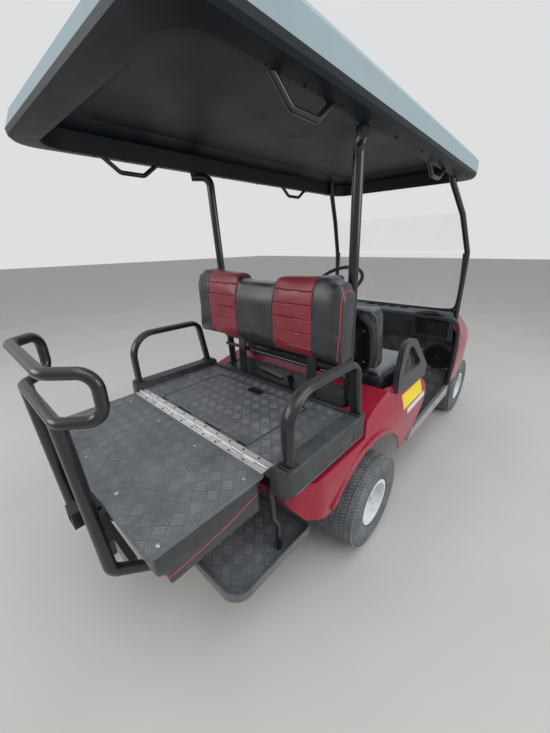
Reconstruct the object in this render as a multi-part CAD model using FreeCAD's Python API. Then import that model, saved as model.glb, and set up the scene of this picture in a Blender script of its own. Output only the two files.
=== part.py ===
"""Four-seat golf cart with a long roof and a rear seat that folds out into a cargo deck.

X points to the cart's right, Y ahead and Z up, in millimetres. The origin is on the floor,
under the middle of the whole cart. Places along the cart are given by ahead(), which counts
from the rear axle.
"""
import FreeCAD, Part
import math
import os

os.makedirs("parts", exist_ok=True)
V = FreeCAD.Vector
RIGHT, LEFT = 1, -1

# Running gear.
WHEELBASE = 1664.0
REAR_OVERHANG = 1042.0
FRONT_OVERHANG = 376.0
REAR_TREAD = 978.0
FRONT_TREAD = 876.0
TYRE_RADIUS = 228.5
TYRE_WIDTH = 216.0
BEAD_RADIUS = 103.0
RIM_FLANGE_RADIUS = 113.0
RIM_WIDTH = 174.0
RIM_THICKNESS = 5.0
AXLE_SHAFT_RADIUS = 16.0
RUNNING_CLEARANCE = 0.05
HUB_WALL = 18.0

LENGTH = REAR_OVERHANG + WHEELBASE + FRONT_OVERHANG
REAR_AXLE_Y = REAR_OVERHANG - LENGTH / 2
AXLE_Z = TYRE_RADIUS

# Chassis.
RAIL_X = 175.0
RAIL_WIDTH = 50.0
RAIL_HEIGHT = 60.0
RAIL_BASE = 275.0
RAIL_REAR = -341.0
RAIL_FRONT = WHEELBASE + 276.0
SPRING_LEAF = 9.0
SPRING_WIDTH = 46.0
REAR_SPRING_HALF = 300.0
FRONT_SPRING_HALF = 260.0
SPRING_SAG = 24.0
SPRING_EYE_RADIUS = 11.0
REAR_SPRING_X = 262.0
AXLE_TUBE_RADIUS = 35.0
REAR_SPRING_SEAT = AXLE_Z + AXLE_TUBE_RADIUS + 4.0
FRONT_SPRING_SEAT = 213.0

# Steering.
KINGPIN_X = 300.0
KINGPIN_RADIUS = 10.0
KNUCKLE_RADIUS = 22.0
KNUCKLE_HEIGHT = 56.0
YOKE_EAR = 14.0
STEERING_ARM = 130.0
TIE_ROD_RADIUS = 8.0
TIE_PIN_RADIUS = 6.0
STEERING_WHEEL_X = -260.0
STEERING_WHEEL_AHEAD = WHEELBASE - 698.0
STEERING_WHEEL_Z = 1109.0
STEERING_RIM_RADIUS = 172.0
STEERING_RIM_GRIP = 13.0
COLUMN_TILT = math.radians(58.0)
COLUMN_RADIUS = 24.0
COLUMN_SHAFT_RADIUS = 10.0

# Floor and front body.
FLOOR_TOP = 345.0
FLOOR_THICKNESS = FLOOR_TOP - RAIL_BASE - RAIL_HEIGHT
FOOTWELL_WALL = 12.0
FLOOR_REAR = 470.0
FLOOR_FRONT = WHEELBASE - 414.0
TOE_BOARD_AHEAD = WHEELBASE - 329.0
TOE_BOARD_FOOT = FLOOR_TOP + 135.0
FLOOR_HALF_WIDTH = 528.0
BODY_WALL = 6.0
COWL_REAR = WHEELBASE - 424.0
COWL_REAR_TOP = WHEELBASE - 579.0
COWL_TOP = 915.0
FOOTWELL_TOP = COWL_TOP - 18.0
COWL_NOSE = WHEELBASE + FRONT_OVERHANG
COWL_HALF_WIDTH = 561.0
COWL_BASE = FLOOR_TOP + 35.0
COWL_SHOULDERS = (
    # a point of a slanted face (x, ahead, z), its slope ahead, its slope upwards
    (COWL_HALF_WIDTH - 10.0, COWL_REAR, COWL_TOP - 127.0, 0.195, 0.485),
    (COWL_HALF_WIDTH - 5.0, COWL_REAR, COWL_TOP - 148.0, 0.068, 0.25),
)
BUMPER_REAR = WHEELBASE + 322.0
FRONT_ARCH_RADIUS = 325.0
FRONT_ARCH_INNER = FRONT_TREAD / 2 - 223.0
DASH_FACE = WHEELBASE - 556.0
DASH_BASE = COWL_TOP - 180.0
DASH_HALF_WIDTH = 528.0
DASH_GAP = 2.0
CUP_RADIUS = 38.0
CUP_DEPTH = 60.0
POCKET_WALL = 4.0

# Rear body.
BODY_REAR = -520.0
DECK_TOP = 700.0
DECK_THICKNESS = 40.0
KIT_RAIL_HEIGHT = 52.0
BODY_TOP = DECK_TOP
BODY_DECK_SEAT = DECK_TOP - DECK_THICKNESS - KIT_RAIL_HEIGHT
BODY_STEP = -88.0
BODY_LIP_X = 552.0
BODY_SHOULDER_X = 515.0
REAR_ARCH_INNER = REAR_TREAD / 2 - 189.0
REAR_ARCH_RADIUS = 400.0
REAR_ARCH_AHEAD = -20.0
REAR_ARCH_Z = 165.0
FLARE_WIDTH = 24.0
SEAT_WELL_REAR = 175.0
SEAT_PAN_Z = BODY_TOP - 60.0
SEAT_CUSHION_HALF = BODY_SHOULDER_X - 31.0
SEAT_WELL_HALF = SEAT_CUSHION_HALF + 8.0
SEAT_CUSHION_REAR = 196.0
SEAT_CUSHION_FRONT = 640.0
SEAT_CUSHION_TOP = SEAT_PAN_Z + 152.0
SEAT_BACK_HALF = 474.0
SEAT_BACK_DEPTH = 96.0
SEAT_BACK_HEIGHT = 300.0
SEAT_LEAN = 11.0
SEAT_BACK_FOOT = (128.0, SEAT_CUSHION_TOP + 20.0)
HIP_PANEL_WIDTH = 28.0

# Rear platform and folding panel.
DECK_FRONT = -100.0
BORDER_INNER_X = 452.0
BORDER_OUTER_X = 535.0
BORDER_TOP = DECK_TOP + 28.0
BORDER_GAP = 4.0
BORDER_SKIRT = BODY_DECK_SEAT + 20.0
HOOP_HALF_WIDTH = 25.0
HOOP_HALF_DEPTH = 15.0
HINGE_AHEAD = -568.0
HINGE_Z = DECK_TOP + 2.2
HINGE_PIN_RADIUS = 2.0
HINGE_BARREL_RADIUS = 4.0
HINGE_LEAF = 2.5
HINGE_LEAF_WIDTH = 24.0
HINGE_KNUCKLES = 15
HINGE_END = 5.0
LID_HALF_WIDTH = 298.0
LID_REAR = -530.0
LID_FRONT = -168.0
LID_THICKNESS = 10.0
LID_GAP = 3.0
TUB_BASE = 545.0
TUB_WALL = 5.0
LID_HINGE_AHEAD = LID_REAR - 1.0
LID_HINGE_Z = DECK_TOP - 2.0
LID_BARREL_RADIUS = 4.0
TRAY_BASE = 258.0
TRAY_FLOOR = 12.0
TRAY_REAR = -763.0
TRAY_FRONT = RAIL_REAR - 4.0
TRAY_HALF_WIDTH = 468.0
TRAY_LIP = 36.0
PANEL_HALF_WIDTH = 445.0
PANEL_REAR = -980.0
PANEL_TOP = DECK_TOP - 1.0
PANEL_THICKNESS = 16.0
REAR_CUSHION_THICKNESS = 160.0
REAR_CUSHION_HALF = 436.0
REAR_BACK_HALF = 468.0
REAR_BACK_DEPTH = 118.0
REAR_BACK_BASE = DECK_TOP + 230.0
REAR_BACK_TOP = DECK_TOP + 565.0
UPRIGHT_BACK = -58.0
SOFT_CLEARANCE = 0.3
HITCH_HALF = 31.0
HITCH_Z = 560.0
HITCH_PIN_RADIUS = 8.0
HITCH_PIN_AHEAD = -963.0
GRAB_TUBE_RADIUS = 16.0
GRAB_POST_RADIUS = 20.0
GRAB_POST_X = 158.0
GRAB_UPPER = 1110.0
GRAB_LOWER = 977.0

# Upper works.
ROOF_REAR = -830.0
ROOF_REAR_RAKE = 24.0
ROOF_FRONT = WHEELBASE - 426.0
ROOF_HALF_REAR = 530.0
ROOF_HALF_FRONT = 485.0
ROOF_BASE = 1738.0
ROOF_CORNER = 90.0
ROOF_LEDGE = 58.0
ROOF_LEDGE_WIDTH = 14.0
ROOF_LEDGE_DROP = 32.0
ROOF_RECESS = 32.0
POST_RADIUS = 19.0
STRUT_RADIUS = 16.0
GLASS_THICKNESS = 5.0


def ahead(distance):
    """The Y place of a point so far ahead of the rear axle."""
    return REAR_AXLE_Y + distance


def place(x, distance, z):
    """A point from its X, its distance ahead of the rear axle and its height."""
    return V(x, ahead(distance), z)


def box(x, distance, z):
    """A block from three pairs: low and high X, distance ahead and Z."""
    size = (x[1] - x[0], distance[1] - distance[0], z[1] - z[0])
    return Part.makeBox(*size, place(x[0], distance[0], z[0]))


def rod(radius, start, end):
    """A round bar between two points."""
    run = end - start
    return Part.makeCylinder(radius, run.Length, start, run)


def path(points, bend, closed=False):
    """A wire of straight runs joined at corners by tangent arcs of one radius, or of one each."""
    count = len(points)
    bends = bend if isinstance(bend, tuple) else (bend,) * count
    corners = range(count) if closed else range(1, count - 1)
    trims = {}
    for index in corners:
        here = points[index]
        back = (points[index - 1] - here).normalize()
        on = (points[(index + 1) % count] - here).normalize()
        half = back.getAngle(on) / 2
        radius = bends[index]
        reach = radius / math.tan(half)
        middle = (back + on).normalize() * (radius / math.sin(half) - radius)
        trims[index] = (here + back * reach, here + middle, here + on * reach)
    edges = []
    for index in range(count if closed else count - 1):
        following = (index + 1) % count
        start = trims[index][2] if index in trims else points[index]
        end = trims[following][0] if following in trims else points[following]
        if (end - start).Length > 1e-6:
            edges.append(Part.LineSegment(start, end).toShape())
        if following in trims:
            edges.append(Part.Arc(*trims[following]).toShape())
    return Part.Wire(edges)


def tube(points, bend, radius):
    """A round bar bent along a path."""
    route = path(points, bend)
    start = Part.makeCircle(radius, points[0], points[1] - points[0])
    return route.makePipeShell([Part.Wire(start)], True, False)


def plate(points, bend, thickness):
    """A flat shape with rounded corners, extruded by a vector."""
    return Part.Face(path(points, bend, True)).extrude(thickness)


def side_outline(profile, x, bend):
    """A closed outline in a plane across X, from (ahead, z) pairs."""
    return path([place(x, distance, z) for distance, z in profile], bend, True)


def side_prism(profile, x, bend, inset=0.0):
    """A side outline extruded between two X places, drawn in by an inset."""
    wire = side_outline(profile, x[0], bend)
    if inset:
        wire = wire.makeOffset2D(-inset)
    return Part.Face(wire).extrude(V(x[1] - x[0], 0, 0))


def plan_prism(outline, z, bend, inset=0.0):
    """A plan outline of (x, ahead) pairs extruded between two heights."""
    wire = path([place(x, distance, z[0]) for x, distance in outline], bend, True)
    if inset:
        wire = wire.makeOffset2D(-inset)
    return Part.Face(wire).extrude(V(0, 0, z[1] - z[0]))


def front_prism(outline, distance, bend, inset=0.0):
    """A front-view outline of (x, z) pairs extruded between two distances ahead."""
    wire = path([place(x, distance[0], z) for x, z in outline], bend, True)
    if inset:
        wire = wire.makeOffset2D(-inset)
    return Part.Face(wire).extrude(V(0, distance[1] - distance[0], 0))


def both_sides(pairs):
    """A closed outline that mirrors a list of (x, other) pairs across X = 0."""
    return pairs + [(-x, other) for x, other in reversed(pairs)]


def mirrored(shape):
    """The same shape on the other side of the cart."""
    return shape.mirror(V(0, 0, 0), V(1, 0, 0))


def pair(shape):
    """A shape and its mirror image as one group of separate solids."""
    return Part.makeCompound([shape, mirrored(shape)])


def rounded_drum(radius, start, width, corner):
    """A short drum along X with rounded rims."""
    drum = Part.makeCylinder(radius, width, start, V(1, 0, 0))
    rims = [edge for edge in drum.Edges if edge.isClosed()]
    return drum.makeFillet(corner, rims)


def trimmed(shape, tool):
    """What is left of a shape outside another, without loose ends."""
    return max(shape.cut(tool).Solids, key=lambda solid: solid.Volume)


def fused(shapes):
    """One solid from several that touch."""
    whole = shapes[0].multiFuse(shapes[1:])
    return whole.removeSplitter()


def export(name, shape):
    shape.exportStep(os.path.join("parts", name + ".step"))


def leaf_spring(x, axle_ahead, seat_z, reach):
    """Three stacked leaves with rolled eyes, arched up from the axle to both eyes."""
    leaves = []
    for above, share in enumerate((0.44, 0.72, 1.0)):
        half = reach * share
        base = seat_z + above * SPRING_LEAF
        middle = place(x - SPRING_WIDTH / 2, axle_ahead, base)
        rear = place(x - SPRING_WIDTH / 2, axle_ahead - half, base + SPRING_SAG * share ** 2)
        front = place(x - SPRING_WIDTH / 2, axle_ahead + half, base + SPRING_SAG * share ** 2)
        lift = V(0, 0, SPRING_LEAF)
        edges = [Part.Arc(rear, middle, front).toShape(), Part.LineSegment(front, front + lift).toShape(),
                 Part.Arc(front + lift, middle + lift, rear + lift).toShape(),
                 Part.LineSegment(rear + lift, rear).toShape()]
        leaves.append(Part.Face(Part.Wire(edges)).extrude(V(SPRING_WIDTH, 0, 0)))
    for end in (-1, 1):
        centre = place(x - SPRING_WIDTH / 2, axle_ahead + end * reach, spring_eye_z(seat_z))
        leaves.append(Part.makeCylinder(SPRING_EYE_RADIUS, SPRING_WIDTH, centre, V(1, 0, 0)))
    return fused(leaves)


def spring_eye_z(seat_z):
    """Height of a spring's eyes above the seat of its shortest leaf."""
    return seat_z + SPRING_LEAF * 2.5 + SPRING_SAG


def chassis_frame():
    """Two long rails with cross members, spring hangers and bearers under the footrest."""
    rail_half = RAIL_WIDTH / 2
    rail_top = RAIL_BASE + RAIL_HEIGHT
    bearer_base = TRAY_BASE - 22.0
    hanger_width = 8.0
    shapes = []
    for side in (LEFT, RIGHT):
        width = (side * RAIL_X - rail_half, side * RAIL_X + rail_half)
        shapes.append(box(width, (RAIL_REAR, RAIL_FRONT), (RAIL_BASE, rail_top)))
        shapes.append(box(width, (TRAY_REAR - 45.0, RAIL_REAR + 40.0), (bearer_base, TRAY_BASE)))
        shapes.append(box(width, (RAIL_REAR, RAIL_REAR + 40.0), (bearer_base, RAIL_BASE + 5.0)))
        inner = RAIL_X + SPRING_WIDTH / 2
        hanger = sorted((side * inner, side * (inner + hanger_width)))
        for end in (-1, 1):
            eye = WHEELBASE + end * FRONT_SPRING_HALF
            shapes.append(box(hanger, (eye - 16.0, eye + 16.0),
                              (spring_eye_z(FRONT_SPRING_SEAT) - SPRING_EYE_RADIUS, RAIL_BASE + 20.0)))
    spring_inner = REAR_SPRING_X - SPRING_WIDTH / 2
    cross_members = (
        # distance ahead, half width
        (-REAR_SPRING_HALF, spring_inner),
        (REAR_SPRING_HALF, spring_inner),
        (FLOOR_REAR + 170.0, FLOOR_HALF_WIDTH - 8.0),
        (FLOOR_FRONT - 100.0, FLOOR_HALF_WIDTH - 8.0),
        (RAIL_FRONT - 40.0, RAIL_X),
    )
    cross_half = 20.0
    for distance, half in cross_members:
        shapes.append(box((-half, half), (distance - cross_half, distance + cross_half),
                          (RAIL_BASE + 8.0, rail_top - 8.0)))
    return fused(shapes)


def rear_axle():
    """Axle tubes with a differential case, brake drums and a shaft end for each wheel."""
    wheel_x = REAR_TREAD / 2
    drum_inner = wheel_x - RIM_WIDTH / 2 - 12.0
    drum_outer = wheel_x - 10.0
    shapes = [
        rod(AXLE_TUBE_RADIUS, place(-drum_inner, 0, AXLE_Z), place(drum_inner, 0, AXLE_Z)),
        rounded_drum(96.0, place(0.0, 0, AXLE_Z), 120.0, 30.0),
        box((20.0, 100.0), (-150.0, 0), (AXLE_Z - 45.0, AXLE_Z + 45.0)),
    ]
    for side in (LEFT, RIGHT):
        shapes.append(rod(84.0, place(side * drum_inner, 0, AXLE_Z), place(side * drum_outer, 0, AXLE_Z)))
        shapes.append(rod(AXLE_SHAFT_RADIUS, place(side * drum_outer, 0, AXLE_Z),
                          place(side * (wheel_x + 52.0), 0, AXLE_Z)))
        pad_x = side * REAR_SPRING_X
        shapes.append(box((pad_x - SPRING_WIDTH / 2, pad_x + SPRING_WIDTH / 2), (-40.0, 40.0),
                          (AXLE_Z, REAR_SPRING_SEAT)))
    return fused(shapes)


def leaf_springs():
    """Rear springs over the axle and front springs between the axle beam and the rails."""
    rear = leaf_spring(REAR_SPRING_X, 0.0, REAR_SPRING_SEAT, REAR_SPRING_HALF)
    front = leaf_spring(RAIL_X, WHEELBASE, FRONT_SPRING_SEAT, FRONT_SPRING_HALF)
    return Part.makeCompound([rear, mirrored(rear), front, mirrored(front)])


def front_axle():
    """A beam with a forked yoke and a kingpin at each end."""
    beam_end = KINGPIN_X - KNUCKLE_RADIUS - 6.0
    shapes = [box((-beam_end, beam_end), (WHEELBASE - 20.0, WHEELBASE + 20.0),
                  (FRONT_SPRING_SEAT - 36.0, FRONT_SPRING_SEAT))]
    half = KNUCKLE_HEIGHT / 2 + 1.0
    for side in (LEFT, RIGHT):
        inner, outer = sorted((side * (beam_end - 14.0), side * (KINGPIN_X + 16.0)))
        web = sorted((side * (beam_end - 14.0), side * beam_end))
        shapes.append(box(web, (WHEELBASE - 18.0, WHEELBASE + 18.0),
                          (AXLE_Z - half - YOKE_EAR, AXLE_Z + half + YOKE_EAR)))
        for low in (AXLE_Z - half - YOKE_EAR, AXLE_Z + half):
            shapes.append(box((inner, outer), (WHEELBASE - 18.0, WHEELBASE + 18.0), (low, low + YOKE_EAR)))
        shapes.append(Part.makeCylinder(KINGPIN_RADIUS, 2 * (half + YOKE_EAR + 3.0),
                                        place(side * KINGPIN_X, WHEELBASE, AXLE_Z - half - YOKE_EAR - 3.0)))
    return fused(shapes)


def knuckle(side):
    """A steering knuckle: kingpin sleeve, wheel spindle and an arm that points back."""
    foot = AXLE_Z - KNUCKLE_HEIGHT / 2
    wheel_x = FRONT_TREAD / 2
    sleeve = Part.makeCylinder(KNUCKLE_RADIUS, KNUCKLE_HEIGHT, place(side * KINGPIN_X, WHEELBASE, foot))
    spindle = rod(AXLE_SHAFT_RADIUS, place(side * KINGPIN_X, WHEELBASE, AXLE_Z),
                  place(side * (wheel_x + 52.0), WHEELBASE, AXLE_Z))
    shoulder = rod(AXLE_SHAFT_RADIUS + 10.0, place(side * KINGPIN_X, WHEELBASE, AXLE_Z),
                   place(side * (wheel_x - RIM_WIDTH / 2 + 4.0), WHEELBASE, AXLE_Z))
    arm_low = foot + 2.0
    arm_high = foot + 16.0
    arm = box((side * KINGPIN_X - 12.0, side * KINGPIN_X + 12.0),
              (WHEELBASE - STEERING_ARM, WHEELBASE - 10.0), (arm_low, arm_high))
    eye = Part.makeCylinder(16.0, arm_high - arm_low,
                            place(side * KINGPIN_X, WHEELBASE - STEERING_ARM, arm_low))
    whole = fused([sleeve, spindle, shoulder, arm, eye])
    bores = [
        Part.makeCylinder(KINGPIN_RADIUS + RUNNING_CLEARANCE, KNUCKLE_HEIGHT,
                          place(side * KINGPIN_X, WHEELBASE, foot)),
        Part.makeCylinder(TIE_PIN_RADIUS + (RUNNING_CLEARANCE if side == RIGHT else 1.0),
                          arm_high - arm_low, place(side * KINGPIN_X, WHEELBASE - STEERING_ARM, arm_low)),
    ]
    return whole.cut(Part.makeCompound(bores))


def tie_rod():
    """The rod under the two steering arms, with a pin up through each arm's eye."""
    arm_low = AXLE_Z - KNUCKLE_HEIGHT / 2 + 2.0
    rod_z = arm_low - TIE_ROD_RADIUS - 4.0
    rod_ahead = WHEELBASE - STEERING_ARM
    shapes = [rod(TIE_ROD_RADIUS, place(-KINGPIN_X, rod_ahead, rod_z), place(KINGPIN_X, rod_ahead, rod_z))]
    for side in (LEFT, RIGHT):
        shapes.append(Part.makeCylinder(13.0, 2 * TIE_ROD_RADIUS, place(side * KINGPIN_X, rod_ahead,
                                                                      rod_z - TIE_ROD_RADIUS)))
        shapes.append(Part.makeCylinder(TIE_PIN_RADIUS, 30.0, place(side * KINGPIN_X, rod_ahead, rod_z)))
    return fused(shapes)


def tyre(x, distance):
    """A low wide tyre with rounded shoulders, solid down to the rim."""
    half = TYRE_WIDTH / 2
    bead = RIM_WIDTH / 2 - SOFT_CLEARANCE
    neck = RIM_FLANGE_RADIUS + 1.0
    shoulder = (half - 10.0, TYRE_RADIUS - 20.5)
    tread = (half - 26.0, TYRE_RADIUS - 3.5)
    left = [(-bead, BEAD_RADIUS), (-bead, neck), (-half, (neck + shoulder[1]) / 2), (-shoulder[0], shoulder[1]),
            (-tread[0], tread[1])]
    right = [(-across, radius) for across, radius in reversed(left)]
    section = left + [(0.0, TYRE_RADIUS)] + right
    points = [place(x + across, distance, AXLE_Z + radius) for across, radius in section]
    edges = [Part.LineSegment(points[0], points[1]).toShape(),
             Part.Arc(points[1], points[2], points[3]).toShape(),
             Part.LineSegment(points[3], points[4]).toShape(),
             Part.Arc(points[4], points[5], points[6]).toShape(),
             Part.LineSegment(points[6], points[7]).toShape(),
             Part.Arc(points[7], points[8], points[9]).toShape(),
             Part.LineSegment(points[9], points[10]).toShape(),
             Part.LineSegment(points[10], points[0]).toShape()]
    face = Part.Face(Part.Wire(edges))
    return face.revolve(place(x, distance, AXLE_Z), V(1, 0, 0), 360)


def wheel(x, distance, side):
    """A pressed steel wheel: rim with two flanges, dished disc and a hub on the axle shaft."""
    inner_radius = BEAD_RADIUS - SOFT_CLEARANCE - RIM_THICKNESS
    outer_radius = BEAD_RADIUS - SOFT_CLEARANCE
    half = RIM_WIDTH / 2

    def ring(outer, inner, low, high):
        start = place(x + low, distance, AXLE_Z)
        body = Part.makeCylinder(outer, high - low, start, V(1, 0, 0))
        return body.cut(Part.makeCylinder(inner, high - low, start, V(1, 0, 0)))

    bore = AXLE_SHAFT_RADIUS + RUNNING_CLEARANCE
    disc_low, disc_high = sorted((side * 18.0, side * 26.0))
    hub_low, hub_high = sorted((side * 0.0, side * 50.0))
    flange_step = 9.0
    shapes = [
        ring(outer_radius, inner_radius, -half, half),
        ring(RIM_FLANGE_RADIUS, inner_radius, half, half + flange_step),
        ring(RIM_FLANGE_RADIUS, inner_radius, -half - flange_step, -half),
        ring(outer_radius, bore, disc_low, disc_high),
        ring(bore + HUB_WALL, bore, hub_low, hub_high),
    ]
    whole = fused(shapes)
    holes = []
    for index in range(8):
        angle = math.radians(45.0 * index)
        centre = place(x + disc_low, distance + 72.0 * math.cos(angle), AXLE_Z + 72.0 * math.sin(angle))
        holes.append(Part.makeCylinder(11.0, disc_high - disc_low, centre, V(1, 0, 0)))
    return whole.cut(Part.makeCompound(holes))


def floor_pan():
    """The floor, its raised toe board and the wall of the front footwell."""
    profile = [
        (FLOOR_REAR, FLOOR_TOP - FLOOR_THICKNESS), (FLOOR_REAR, FLOOR_TOP), (FLOOR_FRONT - 4.0, FLOOR_TOP),
        (TOE_BOARD_AHEAD - FOOTWELL_WALL, TOE_BOARD_FOOT), (TOE_BOARD_AHEAD - FOOTWELL_WALL, FOOTWELL_TOP),
        (TOE_BOARD_AHEAD, FOOTWELL_TOP), (TOE_BOARD_AHEAD, TOE_BOARD_FOOT - 4.0),
        (FLOOR_FRONT, FLOOR_TOP - FLOOR_THICKNESS),
    ]
    pan = side_prism(profile, (-FLOOR_HALF_WIDTH, FLOOR_HALF_WIDTH), 2.0)
    return below_shoulders(pan, BODY_WALL + DASH_GAP)


def sill_trims():
    """Step-over trims along the floor's edges, from the rear body to the cowl."""
    front = FLOOR_FRONT - 16.0
    profile = [(FLOOR_REAR + 6.0, FLOOR_TOP - 45.0), (FLOOR_REAR + 44.0, FLOOR_TOP + 13.0),
               (front, FLOOR_TOP + 49.0), (front, FLOOR_TOP - 27.0)]
    return pair(side_prism(profile, (FLOOR_HALF_WIDTH, BODY_LIP_X - 4.0), 4.0))


def below_shoulders(shape, inset):
    """A shape without what lies outside the hood's slanted shoulders, drawn in by an inset."""
    reach = 1500.0
    for x, distance, z, slope_ahead, slope_up in COWL_SHOULDERS:
        outward = V(1.0, slope_ahead, slope_up).normalize()
        start = place(x, distance, z) - outward * inset
        slab = Part.Plane(start, outward).toShape(-reach, reach, -reach, reach).extrude(outward * reach)
        shape = shape.cut(slab).cut(mirrored(slab))
    return shape


def cowl_solid(inset):
    """The outer form of the front body: three outlines that cut each other, and its shoulders."""
    side = [
        (COWL_REAR, COWL_BASE + 35.0), (COWL_REAR + 12.0, COWL_TOP - 175.0), (COWL_REAR_TOP, COWL_TOP - 22.0),
        (COWL_REAR_TOP + 20.0, COWL_TOP), (COWL_REAR + 90.0, COWL_TOP + 10.0),
        (WHEELBASE + 36.0, COWL_TOP - 115.0), (COWL_NOSE - 110.0, COWL_BASE + 280.0),
        (COWL_NOSE, COWL_BASE + 160.0), (COWL_NOSE, COWL_BASE + 40.0), (COWL_NOSE - 40.0, COWL_BASE),
    ]
    side_bends = (16.0, 16.0, 8.0, 8.0, 400.0, 800.0, 450.0, 110.0, 40.0, 16.0)
    front = both_sides([(COWL_HALF_WIDTH - 18.0, COWL_BASE - 80.0), (COWL_HALF_WIDTH + 14.0, COWL_TOP - 215.0),
                        (COWL_HALF_WIDTH - 60.0, COWL_TOP + 20.0)])
    plan = both_sides([(COWL_HALF_WIDTH - 20.0, COWL_REAR - 240.0), (COWL_HALF_WIDTH + 24.0, WHEELBASE - 134.0),
                       (COWL_HALF_WIDTH - 121.0, COWL_NOSE - 60.0), (COWL_HALF_WIDTH - 221.0, COWL_NOSE)])
    wide = COWL_HALF_WIDTH + 40.0
    shape = side_prism(side, (-wide, wide), side_bends, inset)
    shape = shape.common(front_prism(front, (COWL_REAR_TOP - 85.0, COWL_NOSE + 60.0),
                                     (24.0, 800.0, 60.0, 60.0, 800.0, 24.0), inset))
    shape = shape.common(plan_prism(plan, (COWL_BASE - 130.0, COWL_TOP + 85.0),
                                    (50.0, 1500.0, 120.0, 150.0, 150.0, 120.0, 1500.0, 50.0), inset))
    return below_shoulders(shape, inset)


def dash_plan():
    """The dash's plan outline, a little narrower towards the nose."""
    return both_sides([(DASH_HALF_WIDTH + 9.0, DASH_FACE - 100.0), (DASH_HALF_WIDTH - 20.0, TOE_BOARD_AHEAD)])


def front_cowl():
    """The one-piece front body, open behind and below, with an arch for each front wheel."""
    shell = cowl_solid(0.0)
    core = cowl_solid(BODY_WALL)
    shell = shell.cut(core)
    behind = core.copy()
    behind.translate(V(0, -3 * BODY_WALL, 0))
    below = core.copy()
    below.translate(V(0, 0, -3 * BODY_WALL))
    shell = shell.cut(behind).cut(below)
    arch_centre = place(FRONT_ARCH_INNER, WHEELBASE, AXLE_Z)
    arch = Part.makeCylinder(FRONT_ARCH_RADIUS, COWL_HALF_WIDTH, arch_centre, V(1, 0, 0))
    shell = shell.cut(arch).cut(mirrored(arch))
    dash_room = plan_prism(dash_plan(), (COWL_TOP - 90.0, COWL_TOP + 85.0), 1.0, -DASH_GAP)
    lamps = lamp_prism(0.0)
    return shell.cut(dash_room).cut(lamps).cut(mirrored(lamps))


def lamp_prism(inset):
    """The outline of the right headlamp, run through the nose."""
    outer = COWL_HALF_WIDTH - 136.0
    inner = outer - 140.0
    outline = [(inner, COWL_BASE + 75.0), (inner, COWL_BASE + 148.0), (outer - 20.0, COWL_BASE + 160.0),
               (outer, COWL_BASE + 90.0)]
    return front_prism(outline, (COWL_NOSE - 140.0, COWL_NOSE + 20.0), 20.0, inset)


def headlamps():
    """Lamps that follow the nose's surface, filling the holes in it."""
    behind = cowl_solid(0.0)
    behind.translate(V(0, -45.0, 0))
    lamp = lamp_prism(SOFT_CLEARANCE).common(cowl_solid(0.0)).cut(behind)
    return pair(lamp)


def front_bumper():
    """A moulded bumper across the nose, below the cowl, on the ends of the rails."""
    outline = both_sides([(RAIL_X + 37.0, RAIL_FRONT), (RAIL_X + 53.0, BUMPER_REAR), (402.0, BUMPER_REAR + 6.0),
                          (404.0, BUMPER_REAR + 26.0), (300.0, COWL_NOSE)])
    return plan_prism(outline, (COWL_BASE - 80.0, COWL_BASE - 8.0), 8.0)


def steering_axis():
    """Unit vector down the steering column, from the wheel to the floor."""
    return V(0, math.cos(COLUMN_TILT), -math.sin(COLUMN_TILT))


def steering_centre():
    return place(STEERING_WHEEL_X, STEERING_WHEEL_AHEAD, STEERING_WHEEL_Z)


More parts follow.
